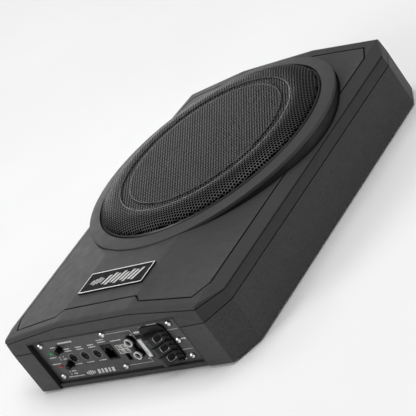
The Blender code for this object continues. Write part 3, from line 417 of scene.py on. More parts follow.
def stack(loops):
    """Close a stack of equal loops of points with a cap at each end."""
    bm = bmesh.new()
    rows = [[bm.verts.new(p) for p in loop] for loop in loops]
    for lower, upper in zip(rows, rows[1:]):
        for i in range(len(lower)):
            j = (i + 1) % len(lower)
            bm.faces.new((lower[i], lower[j], upper[j], upper[i]))
    bm.faces.new(list(reversed(rows[0])))
    bm.faces.new(rows[-1])
    return bm


def box(low, high):
    ring = [(low[0], low[1]), (high[0], low[1]), (high[0], high[1]), (low[0], high[1])]
    return stack([[(x, y, z) for x, y in ring] for z in (low[2], high[2])])


def circle(radius, segments, centre=(0, 0)):
    step = 2 * math.pi / segments
    return [(centre[0] + radius * math.cos(i * step), centre[1] + radius * math.sin(i * step))
            for i in range(segments)]


def rod_z(radius, z0, z1, segments=32, centre=(0, 0)):
    return stack([[(x, y, z) for x, y in circle(radius, segments, centre)] for z in (z0, z1)])


def rod_y(radius, y0, y1, segments=32, centre=(0, 0)):
    return stack([[(x, y, z) for x, z in circle(radius, segments, centre)] for y in (y0, y1)])


def slab_y(outline, y0, y1):
    return stack([[(x, y, z) for x, z in outline] for y in (y0, y1)])


def slab_z(outline, z0, z1):
    return stack([[(x, y, z) for x, y in outline] for z in (z0, z1)])


def rounded(low, high, radius, steps=5):
    """Corner points of a rectangle with rounded corners, anticlockwise."""
    corners = ((high[0] - radius, high[1] - radius, 0), (low[0] + radius, high[1] - radius, 90),
               (low[0] + radius, low[1] + radius, 180), (high[0] - radius, low[1] + radius, 270))
    return [(cx + radius * math.cos(math.radians(start + 90 * k / steps)),
             cy + radius * math.sin(math.radians(start + 90 * k / steps)))
            for cx, cy, start in corners for k in range(steps + 1)]


def tube(inner, outer, z0, z1):
    return [(inner, z0), (outer, z0), (outer, z1), (inner, z1)]


def quarter_turn(steps):
    return [math.pi / 2 * k / steps for k in range(steps + 1)]


def fillet(points, radii, steps=4):
    """Round the corners of a closed profile; radii holds one radius for each point."""
    out = []
    for i, (here, radius) in enumerate(zip(points, radii)):
        p, a, b = Vector(here), Vector(points[i - 1]), Vector(points[(i + 1) % len(points)])
        if radius <= 0:
            out.append(tuple(p))
            continue
        u, v = (a - p).normalized(), (b - p).normalized()
        half = u.angle(v) / 2
        reach = radius / math.tan(half)
        start, end = p + u * reach, p + v * reach
        centre = p + (u + v).normalized() * (radius / math.sin(half))
        for k in range(steps + 1):
            mix = start.lerp(end, k / steps) - centre
            out.append(tuple(centre + mix.normalized() * radius))
    return out


def turned(profile, segments=96, closed=True, arc=None):
    """Turn a profile of (radius, z) points round Z; arc=(start, end) in radians makes a wedge."""
    bm = bmesh.new()
    start, end = arc or (0, 2 * math.pi)
    count = segments + (1 if arc else 0)
    angles = [start + (end - start) * i / segments for i in range(count)]
    rows = []
    for radius, z in profile:
        if radius < 1e-6:
            rows.append([bm.verts.new((0, 0, z))])
        else:
            rows.append([bm.verts.new((radius * math.cos(a), radius * math.sin(a), z)) for a in angles])
    pairs = list(zip(rows, rows[1:])) + ([(rows[-1], rows[0])] if closed else [])
    for lower, upper in pairs:
        if len(lower) == 1 and len(upper) == 1:
            continue
        for i in range(segments):
            j = (i + 1) % count
            corners = []
            for row, k in ((lower, i), (lower, j), (upper, j), (upper, i)):
                vert = row[0] if len(row) == 1 else row[k]
                if vert not in corners:
                    corners.append(vert)
            bm.faces.new(corners)
    if arc and closed:
        bm.faces.new([row[0] for row in rows])
        bm.faces.new([row[-1] for row in reversed(rows)])
    return bm


def moved(bm, x=0.0, y=0.0, z=0.0):
    bmesh.ops.translate(bm, vec=(x, y, z), verts=bm.verts)
    return bm


def facing_front(bm, node):
    """Lay a bmesh turned round Z so that -Z faces the front, on the panel's face at a node's axis."""
    at = centre(node)
    turn = Matrix.Rotation(math.radians(-90), 4, "X")
    bmesh.ops.transform(bm, matrix=Matrix.Translation((at.x, PANEL_Y, at.z)) @ turn, verts=bm.verts)
    return bm


def joined(bms):
    """One bmesh that holds several closed pieces."""
    whole = bmesh.new()
    for bm in bms:
        mesh = bpy.data.meshes.new("part")
        bm.to_mesh(mesh)
        bm.free()
        whole.from_mesh(mesh)
        bpy.data.meshes.remove(mesh)
    return whole


def place(obj, slot, *nodes, body="enclosure"):
    """Ride on a body and stand for the named nodes, which are hidden; slot is not used."""
    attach(obj, body)
    if nodes:
        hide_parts(*nodes)


def hoop(name, profile, mat, slot, *nodes, segments=192, sharp=50, body="enclosure"):
    """A profile turned about the woofer's axis."""
    obj = object_from(moved(turned(profile, segments), y=RING_Y), name, mat, sharp)
    place(obj, slot, *nodes, body=body)


def dial(name, profile, node, mat, sharp=35, segments=40, closed=False):
    """A profile turned about the axis of a node on the panel; negative z is in front of the panel."""
    return object_from(facing_front(turned(profile, segments, closed=closed), node), name, mat, sharp)


def panel_box(x, height, depth):
    """A box from its ranges across, above the underside and behind the panel's face, in millimetres."""
    return box((x[0] * MM, PANEL_Y + depth[0] * MM, up(height[0] * MM)),
               (x[1] * MM, PANEL_Y + depth[1] * MM, up(height[1] * MM)))


# ---------------------------------------------------------------- case shells
def case_outline(inset=0.0):
    """The eight-sided plan of the case, moved inwards by inset."""
    x, y = HALF_W - inset, HALF_L - inset
    diagonal = math.hypot(CHAMFER_X, CHAMFER_Y)
    cut_x = HALF_W - CHAMFER_X - inset * (diagonal - CHAMFER_X) / CHAMFER_Y
    cut_y = HALF_L - CHAMFER_Y - inset * (diagonal - CHAMFER_Y) / CHAMFER_X
    points = [(x, -cut_y), (x, cut_y), (cut_x, y), (-cut_x, y),
              (-x, cut_y), (-x, -cut_y), (-cut_x, -y), (cut_x, -y)]
    return [(px, py + MIDDLE_Y) for px, py in points]


def roof_z(x):
    """Height of the roof's cross-section at a place across the case."""
    x = abs(x)
    section = ((0, PLATEAU_Z), (PLATEAU_HALF, PLATEAU_Z), (WING_HALF, WING_Z), (HALF_W - DRAFT, RIM_Z))
    for (a, za), (b, zb) in zip(section, section[1:]):
        if x <= b:
            return za + (zb - za) * (x - a) / (b - a)
    return RIM_Z


def cover_body(inset, drop, floor_z):
    """A closed block under the roof, flat below, with its corners chamfered."""
    bm = bmesh.new()
    half = HALF_W - DRAFT - inset
    stations = [-half, -WING_HALF, -PLATEAU_HALF, PLATEAU_HALF, WING_HALF, half]
    steps = 4
    rolls = [(EDGE_ROLL * k / steps, EDGE_DROP * (1 - k / steps) ** 2) for k in range(steps + 1)]
    front = [(FRONT_Y + (DRAFT + inset if k == 0 else 0) + d, f) for k, (d, f) in enumerate(rolls)]
    back = [(BACK_Y - (DRAFT + inset if k == 0 else 0) - d, f) for k, (d, f) in enumerate(rolls)]
    rows = front + back[::-1]
    roof = [[bm.verts.new((x, y, (roof_z(x) if abs(x) < half else RIM_Z) - drop - fall)) for x in stations]
            for y, fall in rows]
    base = []
    for k, (y, _) in enumerate(rows):
        y = FRONT_Y + inset if k == 0 else BACK_Y - inset if k == len(rows) - 1 else y
        xs = [-(HALF_W - inset)] + stations[1:-1] + [HALF_W - inset]
        base.append([bm.verts.new((x, y, floor_z)) for x in xs])
    last = len(stations) - 1
    for grid, flip in ((roof, False), (base, True)):
        for a, b in zip(grid, grid[1:]):
            for i in range(last):
                quad = (a[i], a[i + 1], b[i + 1], b[i])
                bm.faces.new(tuple(reversed(quad)) if flip else quad)
    for i in range(last):
        bm.faces.new((base[0][i], base[0][i + 1], roof[0][i + 1], roof[0][i]))
        bm.faces.new((base[-1][i + 1], base[-1][i], roof[-1][i], roof[-1][i + 1]))
    for k in range(len(roof) - 1):
        bm.faces.new((base[k + 1][0], base[k][0], roof[k][0], roof[k + 1][0]))
        bm.faces.new((base[k][last], base[k + 1][last], roof[k + 1][last], roof[k][last]))
    outline = case_outline(inset)
    for a, b in ((1, 2), (3, 4), (5, 6), (7, 0)):
        p, q = Vector((*outline[a], floor_z)), Vector((*outline[b], floor_z))
        across = (q - p).cross(Vector((0, 0, 1))).normalized()
        lean = Vector((0, 0, 1)) - across * (DRAFT / (WING_Z - floor_z))
        cut = bmesh.ops.bisect_plane(bm, geom=bm.verts[:] + bm.edges[:] + bm.faces[:], dist=1e-7,
                                     plane_co=p, plane_no=(q - p).cross(lean).normalized(), clear_outer=True)
        bmesh.ops.edgenet_fill(bm, edges=[e for e in cut["geom_cut"] if isinstance(e, bmesh.types.BMEdge)])
    return bm


def swept(path, section):
    """Closed sweep of a section of (sideways, upwards) points along a closed path, mitred."""
    loops = []
    count = len(path)
    for i, point in enumerate(path):
        before, after = Vector(path[i - 1]), Vector(path[(i + 1) % count])
        here = Vector(point)
        d0, d1 = (here - before), (after - here)
        n0 = Vector((d0.y, -d0.x, 0)).normalized()
        n1 = Vector((d1.y, -d1.x, 0)).normalized()
        side = (n0 + n1).normalized()
        side /= max(side.dot(n0), 0.3)
        loops.append([here + side * s + Vector((0, 0, u)) for s, u in section])
    bm = bmesh.new()
    rows = [[bm.verts.new(p) for p in loop] for loop in loops]
    for k in range(count):
        a, b = rows[k], rows[(k + 1) % count]
        for i in range(len(section)):
            j = (i + 1) % len(section)
            bm.faces.new((a[i], a[j], b[j], b[i]))
    return bm


def lid_groove():
    """Cutter for the fine groove that runs round the lid, stepping in at the flat middle."""
    end, step_in = 172 * MM, 164.7 * MM
    corner_y, corner_x = 154.5 * MM, 114.6 * MM
    step_x = 55 * MM
    quarter = [(PLATEAU_HALF, step_in), (step_x, end), (corner_x, end), (WING_HALF, corner_y)]
    right = [(x, -y) for x, y in quarter] + [(x, y) for x, y in reversed(quarter)]
    loop = right + [(-x, y) for x, y in quarter] + [(-x, -y) for x, y in reversed(quarter)]
    path = [(x, y + MIDDLE_Y, roof_z(x)) for x, y in loop]
    w, d = GROOVE_WIDTH / 2, GROOVE_DEPTH
    section = [(-w, 2 * MM), (-w, -0.2 * MM), (-w * 0.85, -d), (w * 0.85, -d), (w, -0.2 * MM), (w, 2 * MM)]
    return swept(path, section)


def edge_groove():
    """Cutter for the shadow line just below the lid's edge, all round the walls."""
    outline = case_outline(DRAFT)
    points = []
    for i, (x0, y0) in enumerate(outline):
        x1, y1 = outline[(i + 1) % len(outline)]
        points.append((x0, y0))
        crossings = [c for c in (-WING_HALF, -PLATEAU_HALF, PLATEAU_HALF, WING_HALF)
                     if min(x0, x1) + MM < c < max(x0, x1) - MM]
        for c in sorted(crossings, reverse=x1 < x0):
            points.append((c, y0 + (y1 - y0) * (c - x0) / (x1 - x0)))
    path = []
    for x, y in points:
        near_end = abs(y - MIDDLE_Y) > HALF_L - EDGE_ROLL / 2
        path.append((x, y, roof_z(x) - (EDGE_DROP if near_end else 0)))
    inside, outside, top, low = -0.7 * MM, 3 * MM, -1.05 * MM, -1.9 * MM
    return swept(path, [(inside, top), (outside, top), (outside, low), (inside, low)])


def screw_posts():
    dx, dy = HALF_W - 22 * MM, HALF_L - 26 * MM
    return [(sx * dx, MIDDLE_Y + sy * dy) for sy in (-1, 1) for sx in (-1, 1)]


def pocket(obj, low, high):
    """Cut the panel's pocket, with rounded inner corners, and the opening behind the panel."""
    outline = rounded((POCKET_X[0], low), (POCKET_X[1], high), 0.8 * MM, 3)
    boolean(obj, slab_y(outline, FRONT_Y - REACH, PANEL_BACK + GAP))
    boolean(obj, box((POCKET_X[0] + 5 * MM, PANEL_Y, low + 4 * MM),
                     (POCKET_X[1] - 5 * MM, PANEL_BACK + 20 * MM, high - 4.5 * MM)))


def pocket_block(low, high):
    side = 3 * MM
    return box((POCKET_X[0] - side, FRONT_Y + WALL / 2, low),
               (POCKET_X[1] + side, PANEL_BACK + GAP + side, high))


def make_cover():
    cover = object_from(cover_body(0, 0, SEAM_Z + GAP / 2), "lid", CASE)
    bevel(cover, 0.9 * MM, 3, 24)
    hollow = object_from(cover_body(WALL, WALL, SEAM_Z - 10 * MM), "hollow", None)
    boolean(hollow, rod_z(SEAT_RADIUS + WALL, SEAT_Z - SEAT_THICK, 0.1, 128, (0, RING_Y)))
    for x, y in screw_posts():
        boolean(hollow, rod_z(5 * MM, 0, 0.1, 24, (x, y)))
    tool = bmesh.new()
    tool.from_mesh(hollow.data)
    bpy.data.objects.remove(hollow, do_unlink=True)
    boolean(cover, tool)
    boolean(cover, rod_z(SEAT_RADIUS, SEAT_Z, 0.1, 256, (0, RING_Y)))
    boolean(cover, rod_z(BAFFLE_HOLE, 0, 0.1, 192, (0, RING_Y)))
    boolean(cover, pocket_block(SEAM_Z + GAP / 2, POCKET_TOP + WALL), "UNION")
    pocket(cover, SEAM_Z - 20 * MM, POCKET_TOP)
    boolean(cover, lid_groove())
    boolean(cover, edge_groove())
    for x, y in screw_posts():
        boolean(cover, rod_z(5 * MM - GAP, FLOOR_Z + GAP, SEAM_Z + 8 * MM, 24, (x, y)), "UNION")
    even_shading(cover)
    place(cover, "case_plastic", "top_cover")


def make_tray():
    shadow, seam = 0.55 * MM, SEAM_Z - GAP / 2
    loops = [(1.5 * MM, BASE_Z), (0.45 * MM, BASE_Z + 0.35 * MM), (0, BASE_Z + 1.5 * MM),
             (0, seam - shadow), (MM, seam - shadow), (MM, seam),
             (LIP_INSET + GAP, seam), (LIP_INSET + GAP, SEAM_Z + LIP_HEIGHT),
             (WALL + GAP, SEAM_Z + LIP_HEIGHT), (WALL + GAP, FLOOR_Z)]
    tray = object_from(stack([[(x, y, z) for x, y in case_outline(i)] for i, z in loops]), "tray", CASE)
    boolean(tray, pocket_block(BASE_Z + 1.5 * MM, seam), "UNION")
    boolean(tray, pocket_block(seam, SEAM_Z + REACH))
    boolean(tray, box((POCKET_X[0], FRONT_Y - REACH, -REACH),
                      (POCKET_X[1], FRONT_Y + SILL_SETBACK, SEAM_Z + 2 * REACH)))
    pocket(tray, SILL_Z, SEAM_Z + 2 * REACH)
    for at in screw_posts():
        boolean(tray, rod_z(2.2 * MM, 0, FLOOR_Z + MM, 32, at))
        boolean(tray, rod_z(4.4 * MM, -MM, BASE_Z + 1.6 * MM, 48, at))
    for corner in CORNERS:
        low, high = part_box("foot_" + corner)
        middle = ((low.x + high.x) / 2, (low.y + high.y) / 2)
        boolean(tray, rod_z((high.x - low.x) / 2 + GAP, -MM, BASE_Z + 1.2 * MM, 64, middle))
    for k in range(-3, 4):
        # shallow stiffening flutes across the underside, clear of the middle pad
        y = MIDDLE_Y + k * 34 * MM
        for x0, x1 in ((-96, -45), (45, 96)):
            outline = rounded((x0 * MM, y - 2 * MM), (x1 * MM, y + 2 * MM), 1.9 * MM, 6)
            boolean(tray, slab_z(outline, -MM, BASE_Z + 0.6 * MM))
    even_shading(tray)
    place(tray, "case_plastic", "bottom_tray")


# ---------------------------------------------------------------- ring and grille
def make_ring():
    """Trim ring: a top that slopes up to the grille, rounded edges, and a wall that tucks in below."""
    inner, top, foot = GRILLE_EDGE + GAP, RING_INNER_TOP - 2 * MM, SEAT_Z + GAP
    r = RING_RADIUS
    points = [(r - 4 * MM, foot), (r - 3.4 * MM, top - 5 * MM), (r, top - 3.4 * MM), (r, top),
              (inner, RING_INNER_TOP), (inner, RING_INNER_TOP - 3 * MM), (r - 8 * MM, top - 3 * MM),
              (r - 8 * MM, foot)]
    profile = fillet(points, (0, 0.8 * MM, 0.8 * MM, 0.6 * MM, 0.4 * MM, 0, 0.6 * MM, 0))
    hoop("trim_ring", profile, RING_PLASTIC, "case_plastic", "grille_ring", segments=256)
    # Black rubber band in the seat's undercut: painted shade in the gap between the ring and the case.
    hoop("ring_shade_seal", tube(r - 3.2 * MM, r - 2.2 * MM, foot, top - 3.6 * MM), RUBBER, "soft_rubber")


PRESSED_OUT, PRESSED_IN, PRESSED_DEPTH = 94.7 * MM, 84.1 * MM, 1.1 * MM
PRESSED_STEP = 1.6 * MM
RIM_RADIUS = GRILLE_EDGE - 1.4 * MM
SHOULDER = 100 * MM
DOME_POWER = 1.75
HOLE_PITCH = 3.21 * MM
HOLE_RADIUS = 1.44 * MM
ROW_TURN = math.radians(2.8)
ROW_COS, ROW_SIN = math.cos(ROW_TURN), math.sin(ROW_TURN)
BORDER = RIM_RADIUS - 1.8 * MM


def dome_z(radius):
    """Top surface of the grille: flat middle, pressed ring, and a steep rounded flank."""
    rise = GRILLE_TOP - RING_INNER_TOP + 0.8 * MM
    if radius >= SHOULDER:
        t = min(1.0, (radius - SHOULDER) / (RIM_RADIUS - SHOULDER))
        return GRILLE_TOP - rise * (1 - (1 - t ** DOME_POWER) ** (1 / DOME_POWER))
    if PRESSED_IN <= radius <= PRESSED_OUT:
        t = min(1.0, (radius - PRESSED_IN) / PRESSED_STEP, (PRESSED_OUT - radius) / PRESSED_STEP)
        return GRILLE_TOP - PRESSED_DEPTH * t * t * (3 - 2 * t)
    return GRILLE_TOP


def perforated(name, inner, outer, thickness=0.25 * MM):
    """Sheet of hexagonal cells with a round hole each, pressed to the dome's shape."""
    row_step = HOLE_PITCH * math.sqrt(3) / 2
    corner_radius = HOLE_PITCH / math.sqrt(3)
    sides = 12
    verts, index, faces = [], {}, []

    def vert(x, y, drop):
        key = (round(x * 1e6 / 2), round(y * 1e6 / 2), drop)
        if key not in index:
            index[key] = len(verts)
            verts.append((x * ROW_COS - y * ROW_SIN, x * ROW_SIN + y * ROW_COS + RING_Y,
                          dome_z(math.hypot(x, y)) - (thickness if drop else 0)))
        return index[key]

    rows = int(outer / row_step) + 1
    columns = int(outer / HOLE_PITCH) + 1
    cells = {}
    for row in range(-rows, rows + 1):
        for column in range(-columns, columns + 1):
            x = (column + 0.5 * (row % 2)) * HOLE_PITCH
            y = row * row_step
            if inner <= math.hypot(x, y) < outer:
                cells[(row, column)] = (x, y)
    edge_use = {}
    for x, y in cells.values():
        corners = [(x + corner_radius * math.cos(math.radians(30 + 60 * k)),
                    y + corner_radius * math.sin(math.radians(30 + 60 * k))) for k in range(6)]
        hole = [(x + HOLE_RADIUS * math.cos(2 * math.pi * (k + 1) / sides),
                 y + HOLE_RADIUS * math.sin(2 * math.pi * (k + 1) / sides)) for k in range(sides)]
        for drop in (False, True):
            c = [vert(*p, drop) for p in corners]
            h = [vert(*p, drop) for p in hole]
            for k in range(6):
                face = (c[k], c[(k + 1) % 6], h[(2 * k + 2) % sides], h[2 * k + 1], h[2 * k])
                faces.append(face if not drop else face[::-1])
                if not drop:
                    edge = (c[k], c[(k + 1) % 6])
                    edge_use[edge] = (corners[k], corners[(k + 1) % 6])
        top = [vert(*p, False) for p in hole]
        low = [vert(*p, True) for p in hole]
        for k in range(sides):
            j = (k + 1) % sides
            faces.append((top[k], top[j], low[j], low[k]))
    for (a, b), (p, q) in edge_use.items():
        if (b, a) not in edge_use:
            faces.append((b, a, vert(*p, True), vert(*q, True)))
    mesh = bpy.data.meshes.new(name)
    mesh.from_pydata(verts, [], faces)
    mesh.materials.append(GRILLE)
    obj = bpy.data.objects.new(name, mesh)
    bpy.context.scene.collection.objects.link(obj)
    mesh.shade_smooth()
    mesh.set_sharp_from_angle(angle=math.radians(40))
    return obj


def make_grille():
    split = (PRESSED_IN + PRESSED_OUT) / 2
    place(perforated("grille_face", 0, split), "grille_steel", "grille")
    place(perforated("grille_flank", split, BORDER), "grille_steel")
    start = RIM_RADIUS - 0.8 * MM
    steps = 6
    radii = [start + (RIM_RADIUS - start) * k / steps for k in range(steps + 1)]
    top = [(r, dome_z(r) - 0.1 * MM) for r in radii]
    skirt = RING_INNER_TOP - 3 * MM
    under = [(RIM_RADIUS, skirt), (RIM_RADIUS - MM, skirt)]
    under += [(r - 0.4 * MM, dome_z(r) - MM) for r in reversed(radii[:-1])]
    # The border takes the darker motor steel instead of the grille's own finish: painted shade in the gap
    # between grille and ring.
    hoop("grille_border", top + under, MOTOR, "grille_steel", segments=256)
    # The inner bead takes the darker motor steel: painted shade along the inner edge of the pressed ring; the
    # outer bead keeps the grille's own finish.
    for name, radius, mat in (("inner", PRESSED_IN, MOTOR), ("outer", PRESSED_OUT, GRILLE)):
        bead = [(radius + 0.55 * MM * math.cos(a), GRILLE_TOP - 0.3 * MM + 0.28 * MM * math.sin(a))
                for a in [math.pi / 4 * k for k in range(8)]]
        hoop("grille_bead_" + name, bead, mat, "grille_steel", sharp=80)
    reach = RIM_RADIUS - 1.5 * MM
    cloth = [(reach * (1 - k / 24), dome_z(reach * (1 - k / 24)) - 1.5 * MM) for k in range(25)]
    backing = cloth + [(r, z - 0.4 * MM) for r, z in reversed(cloth)]
    # Near-black cloth just under the grille: painted shade seen through its holes.
    hoop("grille_shade_cloth", backing, SHADE_CLOTH, "spider_cloth", segments=96, sharp=60)
    low = RING_INNER_TOP - 6 * MM
    foam = tube(RIM_RADIUS - 2 * MM, GRILLE_EDGE + 3 * MM, low, low + 2.6 * MM)
    hoop("grille_foam", foam, RUBBER, "soft_rubber", segments=128)


# ---------------------------------------------------------------- name plate
def slanted(x, middle, wide, tall, slant):
    """Corners of an upright bar that leans to the right."""
    lean, half = tall / 2 * slant, tall / 2
    return [(x - lean, middle - half), (x + wide - lean, middle - half),
            (x + wide + lean, middle + half), (x + lean, middle + half)]


def make_badge():
    """Black name plate with a bright border; plain slanted bars stand where a name would be."""
    low, high = (badge_low.x, badge_low.y), (badge_high.x, badge_high.y)
    top = badge_high.z

    def outline(inset, radius):
        return rounded([v + inset for v in low], [v - inset for v in high], radius)

    plate = object_from(slab_z(outline(0, 0.8 * MM), badge_low.z, top - 0.35 * MM), "badge_plate_body", BADGE)
    bevel(plate, 0.25 * MM, 2)
    place(plate, "badge_black", "badge_plate")
    edge, width = 0.4 * MM, 0.7 * MM
    border = object_from(slab_z(outline(edge, 0.6 * MM), top - 0.45 * MM, top), "badge_border", SILVER)
    boolean(border, slab_z(outline(edge + width, 0.4 * MM), top - MM, top + MM))
    place(border, "badge_black")
    bars = []
    small = (4.5, 7.0, 9.5, 7.5, 5.0)
    large = (11.0, 14.5, 11.0, 14.5, 9.5, 14.5, 12.0, 14.5)
    x = low[0] + 9.5 * MM
    for heights, wide, gap in ((small, 1.5 * MM, 1.7 * MM), (large, 3.2 * MM, 2.6 * MM)):
        for height in heights:
            corners = slanted(x, (low[1] + high[1]) / 2, wide, height * MM, 0.45)
            bars.append(slab_z(corners, top - 0.45 * MM, top - 0.1 * MM))
            x += wide + gap
        x += 2.5 * MM
    place(object_from(joined(bars), "badge_bars", INK), "badge_black")


# ---------------------------------------------------------------- control panel
SCREWS = [n for n in NODES if n.startswith("panel_screw_")]
LED_NODES = {"power_led": ("led_green", GREEN), "protect_led": ("led_red", RED)}
BUTTON_NODES = {"phase_button": "phase_push", "level_button": "level_push"}
POTS = ("crossover", "boost", "gain")
PHONOS = ("upper", "lower")
TERMINALS = ("ground", "remote", "battery")
INK_DEPTH = (-0.05, 0.02)


def make_panel():
    outline = rounded((panel_low.x, panel_low.z), (panel_high.x, panel_high.z), 0.6 * MM)
    plate = object_from(slab_y(outline, PANEL_Y, PANEL_BACK), "panel_plate", PANEL)
    bevel(plate, 0.25 * MM, 2)
    rounds = [(n, 1.8) for n in (*SCREWS, *LED_NODES)] + [(n, 3.5) for n in BUTTON_NODES]
    rounds += [(n + "_trimmer_rotor", 4.2) for n in POTS] + [("phono_shell_" + n, 5.2) for n in PHONOS]
    for node, radius in rounds:
        at = centre(node)
        boolean(plate, rod_y(radius * MM, PANEL_Y - REACH, PANEL_BACK + REACH, 48, (at.x, at.z)))
    for node in ("remote_jack", "high_level_socket", "fuse_holder"):
        low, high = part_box(node)
        boolean(plate, box((low.x - GAP, PANEL_Y - REACH, low.z - GAP),
                           (high.x + GAP, PANEL_BACK + REACH, high.z + GAP)))
    for x, height in (((4.7, 10.1), (16.5, 25)), ((47, 65), (14, 40))):
        boolean(plate, panel_box(x, height, (-10, 20)))
    even_shading(plate)
    place(plate, "panel_paint", "control_panel")


def make_pocket_shade_liner():
    """Black strips round the pocket, shaped as a sealing strip, that paint the shade at the pocket's side
    walls and under its top edge: full depth at the sides, with a lip just inside the edge.
    """
    thick, lip, back = 0.45 * MM, 2.1 * MM, PANEL_Y - 0.05 * MM
    x0, x1 = POCKET_X
    front, z0, z1 = FRONT_Y + 0.5 * MM, panel_low.z - GAP, POCKET_TOP
    strips = [box((x0 + GAP / 3, front, z0), (x0 + thick, back, z1 - lip)),
              box((x1 - thick, front, z0), (x1 - GAP / 3, back, z1 - lip)),
              box((x1 - lip, front, z0), (x1 - thick, front + MM, z1 - lip)),
              box((x0 + GAP / 3, front, z1 - lip), (x1 - GAP / 3, front + MM, z1 - GAP / 3)),
              box((x0 + thick, back - 0.4 * MM, z0 + GAP / 3), (x1 - thick, back, z0 + 0.75 * MM))]
    place(object_from(joined(strips), "pocket_shade_seal", RUBBER), "soft_rubber")


def ink_bar(x0, z0, x1, z1):
    """A thin raised patch of ink between two corners given in millimetres on the panel."""
    return panel_box((x0, x1), (z0, z1), INK_DEPTH)


def ink_marks(x0, x1, z, tall=1.1, pieces=4):
    """A row of short bars that stands for a caption."""
    bars, gap = [], 0.45
    wide = (x1 - x0 - gap * (pieces - 1)) / pieces
    for k in range(pieces):
        x = x0 + k * (wide + gap)
        rise = tall * (0.5 if k % 3 == 1 else 0.42)
        bars.append(ink_bar(x, z - rise, x + wide, z + rise))
    return bars


def make_print():
    """Plain bars for captions, hairlines that group the sockets, dots, and ticks round the trimmers."""
    bars = []
    captions = [
        (-65.6, -46.8, 47.6, 1.9, 8), (-78.8, -69.6, 44.2, 1.1, 4), (-89.2, -80.6, 33.0, 1.0, 4),
        (-92.4, -80.8, 25.4, 1.0, 5), (-73.2, -68.2, 29.6, 1.2, 3), (-74.4, -68.9, 15.0, 1.2, 3),
        (-74.0, -69.2, 11.8, 1.2, 2), (-84.0, -62.4, 8.7, 1.1, 9), (-17.0, -7.4, 43.6, 1.0, 4),
        (-17.4, -7.2, 41.2, 1.1, 4), (-0.8, 12.4, 40.2, 1.1, 5), (33.2, 42.0, 44.6, 2.3, 4),
        (53.2, 66.2, 49.8, 2.2, 5), (80.6, 86.2, 30.2, 1.6, 2), (66.4, 70.8, 8.9, 1.6, 2),
        (27.2, 29.0, 43.2, 1.6, 1), (27.6, 29.0, 15.2, 1.5, 1),
    ]
    for name in POTS:
        x = centre(name + "_trimmer_rotor").x / MM
        captions += [(x - 4.4, x + 3.4, 40.2, 1.2, 3), (x - 4.6, x + 4.2, 37.7, 1.2, 4),
                     (x - 3.8, x - 2.2, 21.8, 0.9, 1), (x - 1.2, x + 5.6, 21.8, 1.0, 3)]
    for caption in captions:
        bars += ink_marks(*caption)
    half = 0.175
    frames = [((-1.2, 48.4), (30.6, 48.4), (30.6, 11.2), (-1.0, 11.2)),
              ((52.0, 49.6), (44.4, 49.6), (44.4, 45.6)),
              ((72.4, 41.4), (85.4, 41.4)), ((73.2, 18.6), (85.4, 18.6))]
    for corners in frames:
        for (xa, za), (xb, zb) in zip(corners, corners[1:]):
            bars.append(ink_bar(min(xa, xb) - half, min(za, zb) - half,
                                max(xa, xb) + half, max(za, zb) + half))
    front, back = (PANEL_Y + depth * MM for depth in INK_DEPTH)
    for x, z in ((-76.3, 32.1), (-71.0, 32.5), (-76.8, 29.5), (-77.4, 14.7), (-77.6, 11.7)):
        bars.append(rod_y(0.62 * MM, front, back, 16, (x * MM, up(z * MM))))
    for name in POTS:
        middle = centre(name + "_trimmer_rotor")
        for k in range(11):
            tick = box((-0.14 * MM, front, 4.8 * MM), (0.14 * MM, back, 5.5 * MM))
            turn = Matrix.Rotation(math.radians(-140 + 28 * k), 3, "Y")
            bmesh.ops.rotate(tick, verts=tick.verts, matrix=turn)
            bars.append(moved(tick, middle.x, 0, middle.z))
    x = -58.2
    small, large = zip((1.5,) * 5, (2.6, 4, 5, 4, 2.6)), zip((3.2, 2.4, 3.2, 2.4, 3.6), (5,) * 5)
    for group, gap in ((small, 1.0), (large, 1.9)):
        for wide, tall in group:
            corners = [(a * MM, up(b * MM)) for a, b in slanted(x, 10, wide, tall, 0.3)]
            bars.append(slab_y(corners, front, back))
            x += wide + gap
        x += 2.6
    place(object_from(joined(bars), "panel_print", INK), "panel_paint")


def cross_recess(obj, front, reach, depth):
    """Phillips recess: two slots that taper inwards, cut into a head that faces -Y at the origin."""
    half, proud = 0.42 * MM, -0.6 * MM
    for turn in (0, 90):
        loops = [[(-a, y, -b), (a, y, -b), (a, y, b), (-a, y, b)]
                 for a, y, b in ((reach, proud, half), (reach * 0.45, depth, half * 0.6))]
        bm = stack(loops)
        bmesh.ops.rotate(bm, verts=bm.verts, matrix=Matrix.Rotation(math.radians(turn), 3, "Y"))
        boolean(obj, moved(bm, y=front))


def make_panel_screws():
    """One pan head, shared by all the screws and turned a little further at each."""
    low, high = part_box(SCREWS[0])
    head, front, shank, end = (high.x - low.x) / 2, low.y - PANEL_Y, 1.5 * MM, 4.8 * MM
    dome = [(head * math.sin(t), front + (1 - math.cos(t)) * 1.9 * MM) for t in quarter_turn(6)]
    bm = turned(dome + [(head, -GAP), (shank, -GAP), (shank, end), (0, end)], 40, closed=False)
    bmesh.ops.rotate(bm, verts=bm.verts, matrix=Matrix.Rotation(math.radians(-90), 3, "X"))
    first = object_from(bm, SCREWS[0] + "_head", STEEL, 40)
    cross_recess(first, front, 1.75 * MM, 1.25 * MM)
    sharpened(first, 40)
    for k, node in enumerate(SCREWS):
        screw = first
        if k:
            screw = bpy.data.objects.new(node + "_head", first.data)
            bpy.context.scene.collection.objects.link(screw)
        at = centre(node)
        turn = Matrix.Rotation(0.5 + 1.1 * k, 4, "Y")
        screw.matrix_world = Matrix.Translation((at.x, PANEL_Y, at.z)) @ turn
        place(screw, "bright_steel", node)


def make_leds():
    for node, (slot, mat) in LED_NODES.items():
        front, r, flange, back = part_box(node)[0].y - PANEL_Y, 1.5 * MM, 1.9 * MM, 5.5 * MM
        dome = [(r * math.sin(t), front + r - r * math.cos(t)) for t in quarter_turn(8)]
        profile = dome + [(r, 2.2 * MM), (flange, 2.3 * MM), (flange, back), (0, back)]
        place(dial(node + "_lens", profile, node, mat, 50, 32), slot, node)


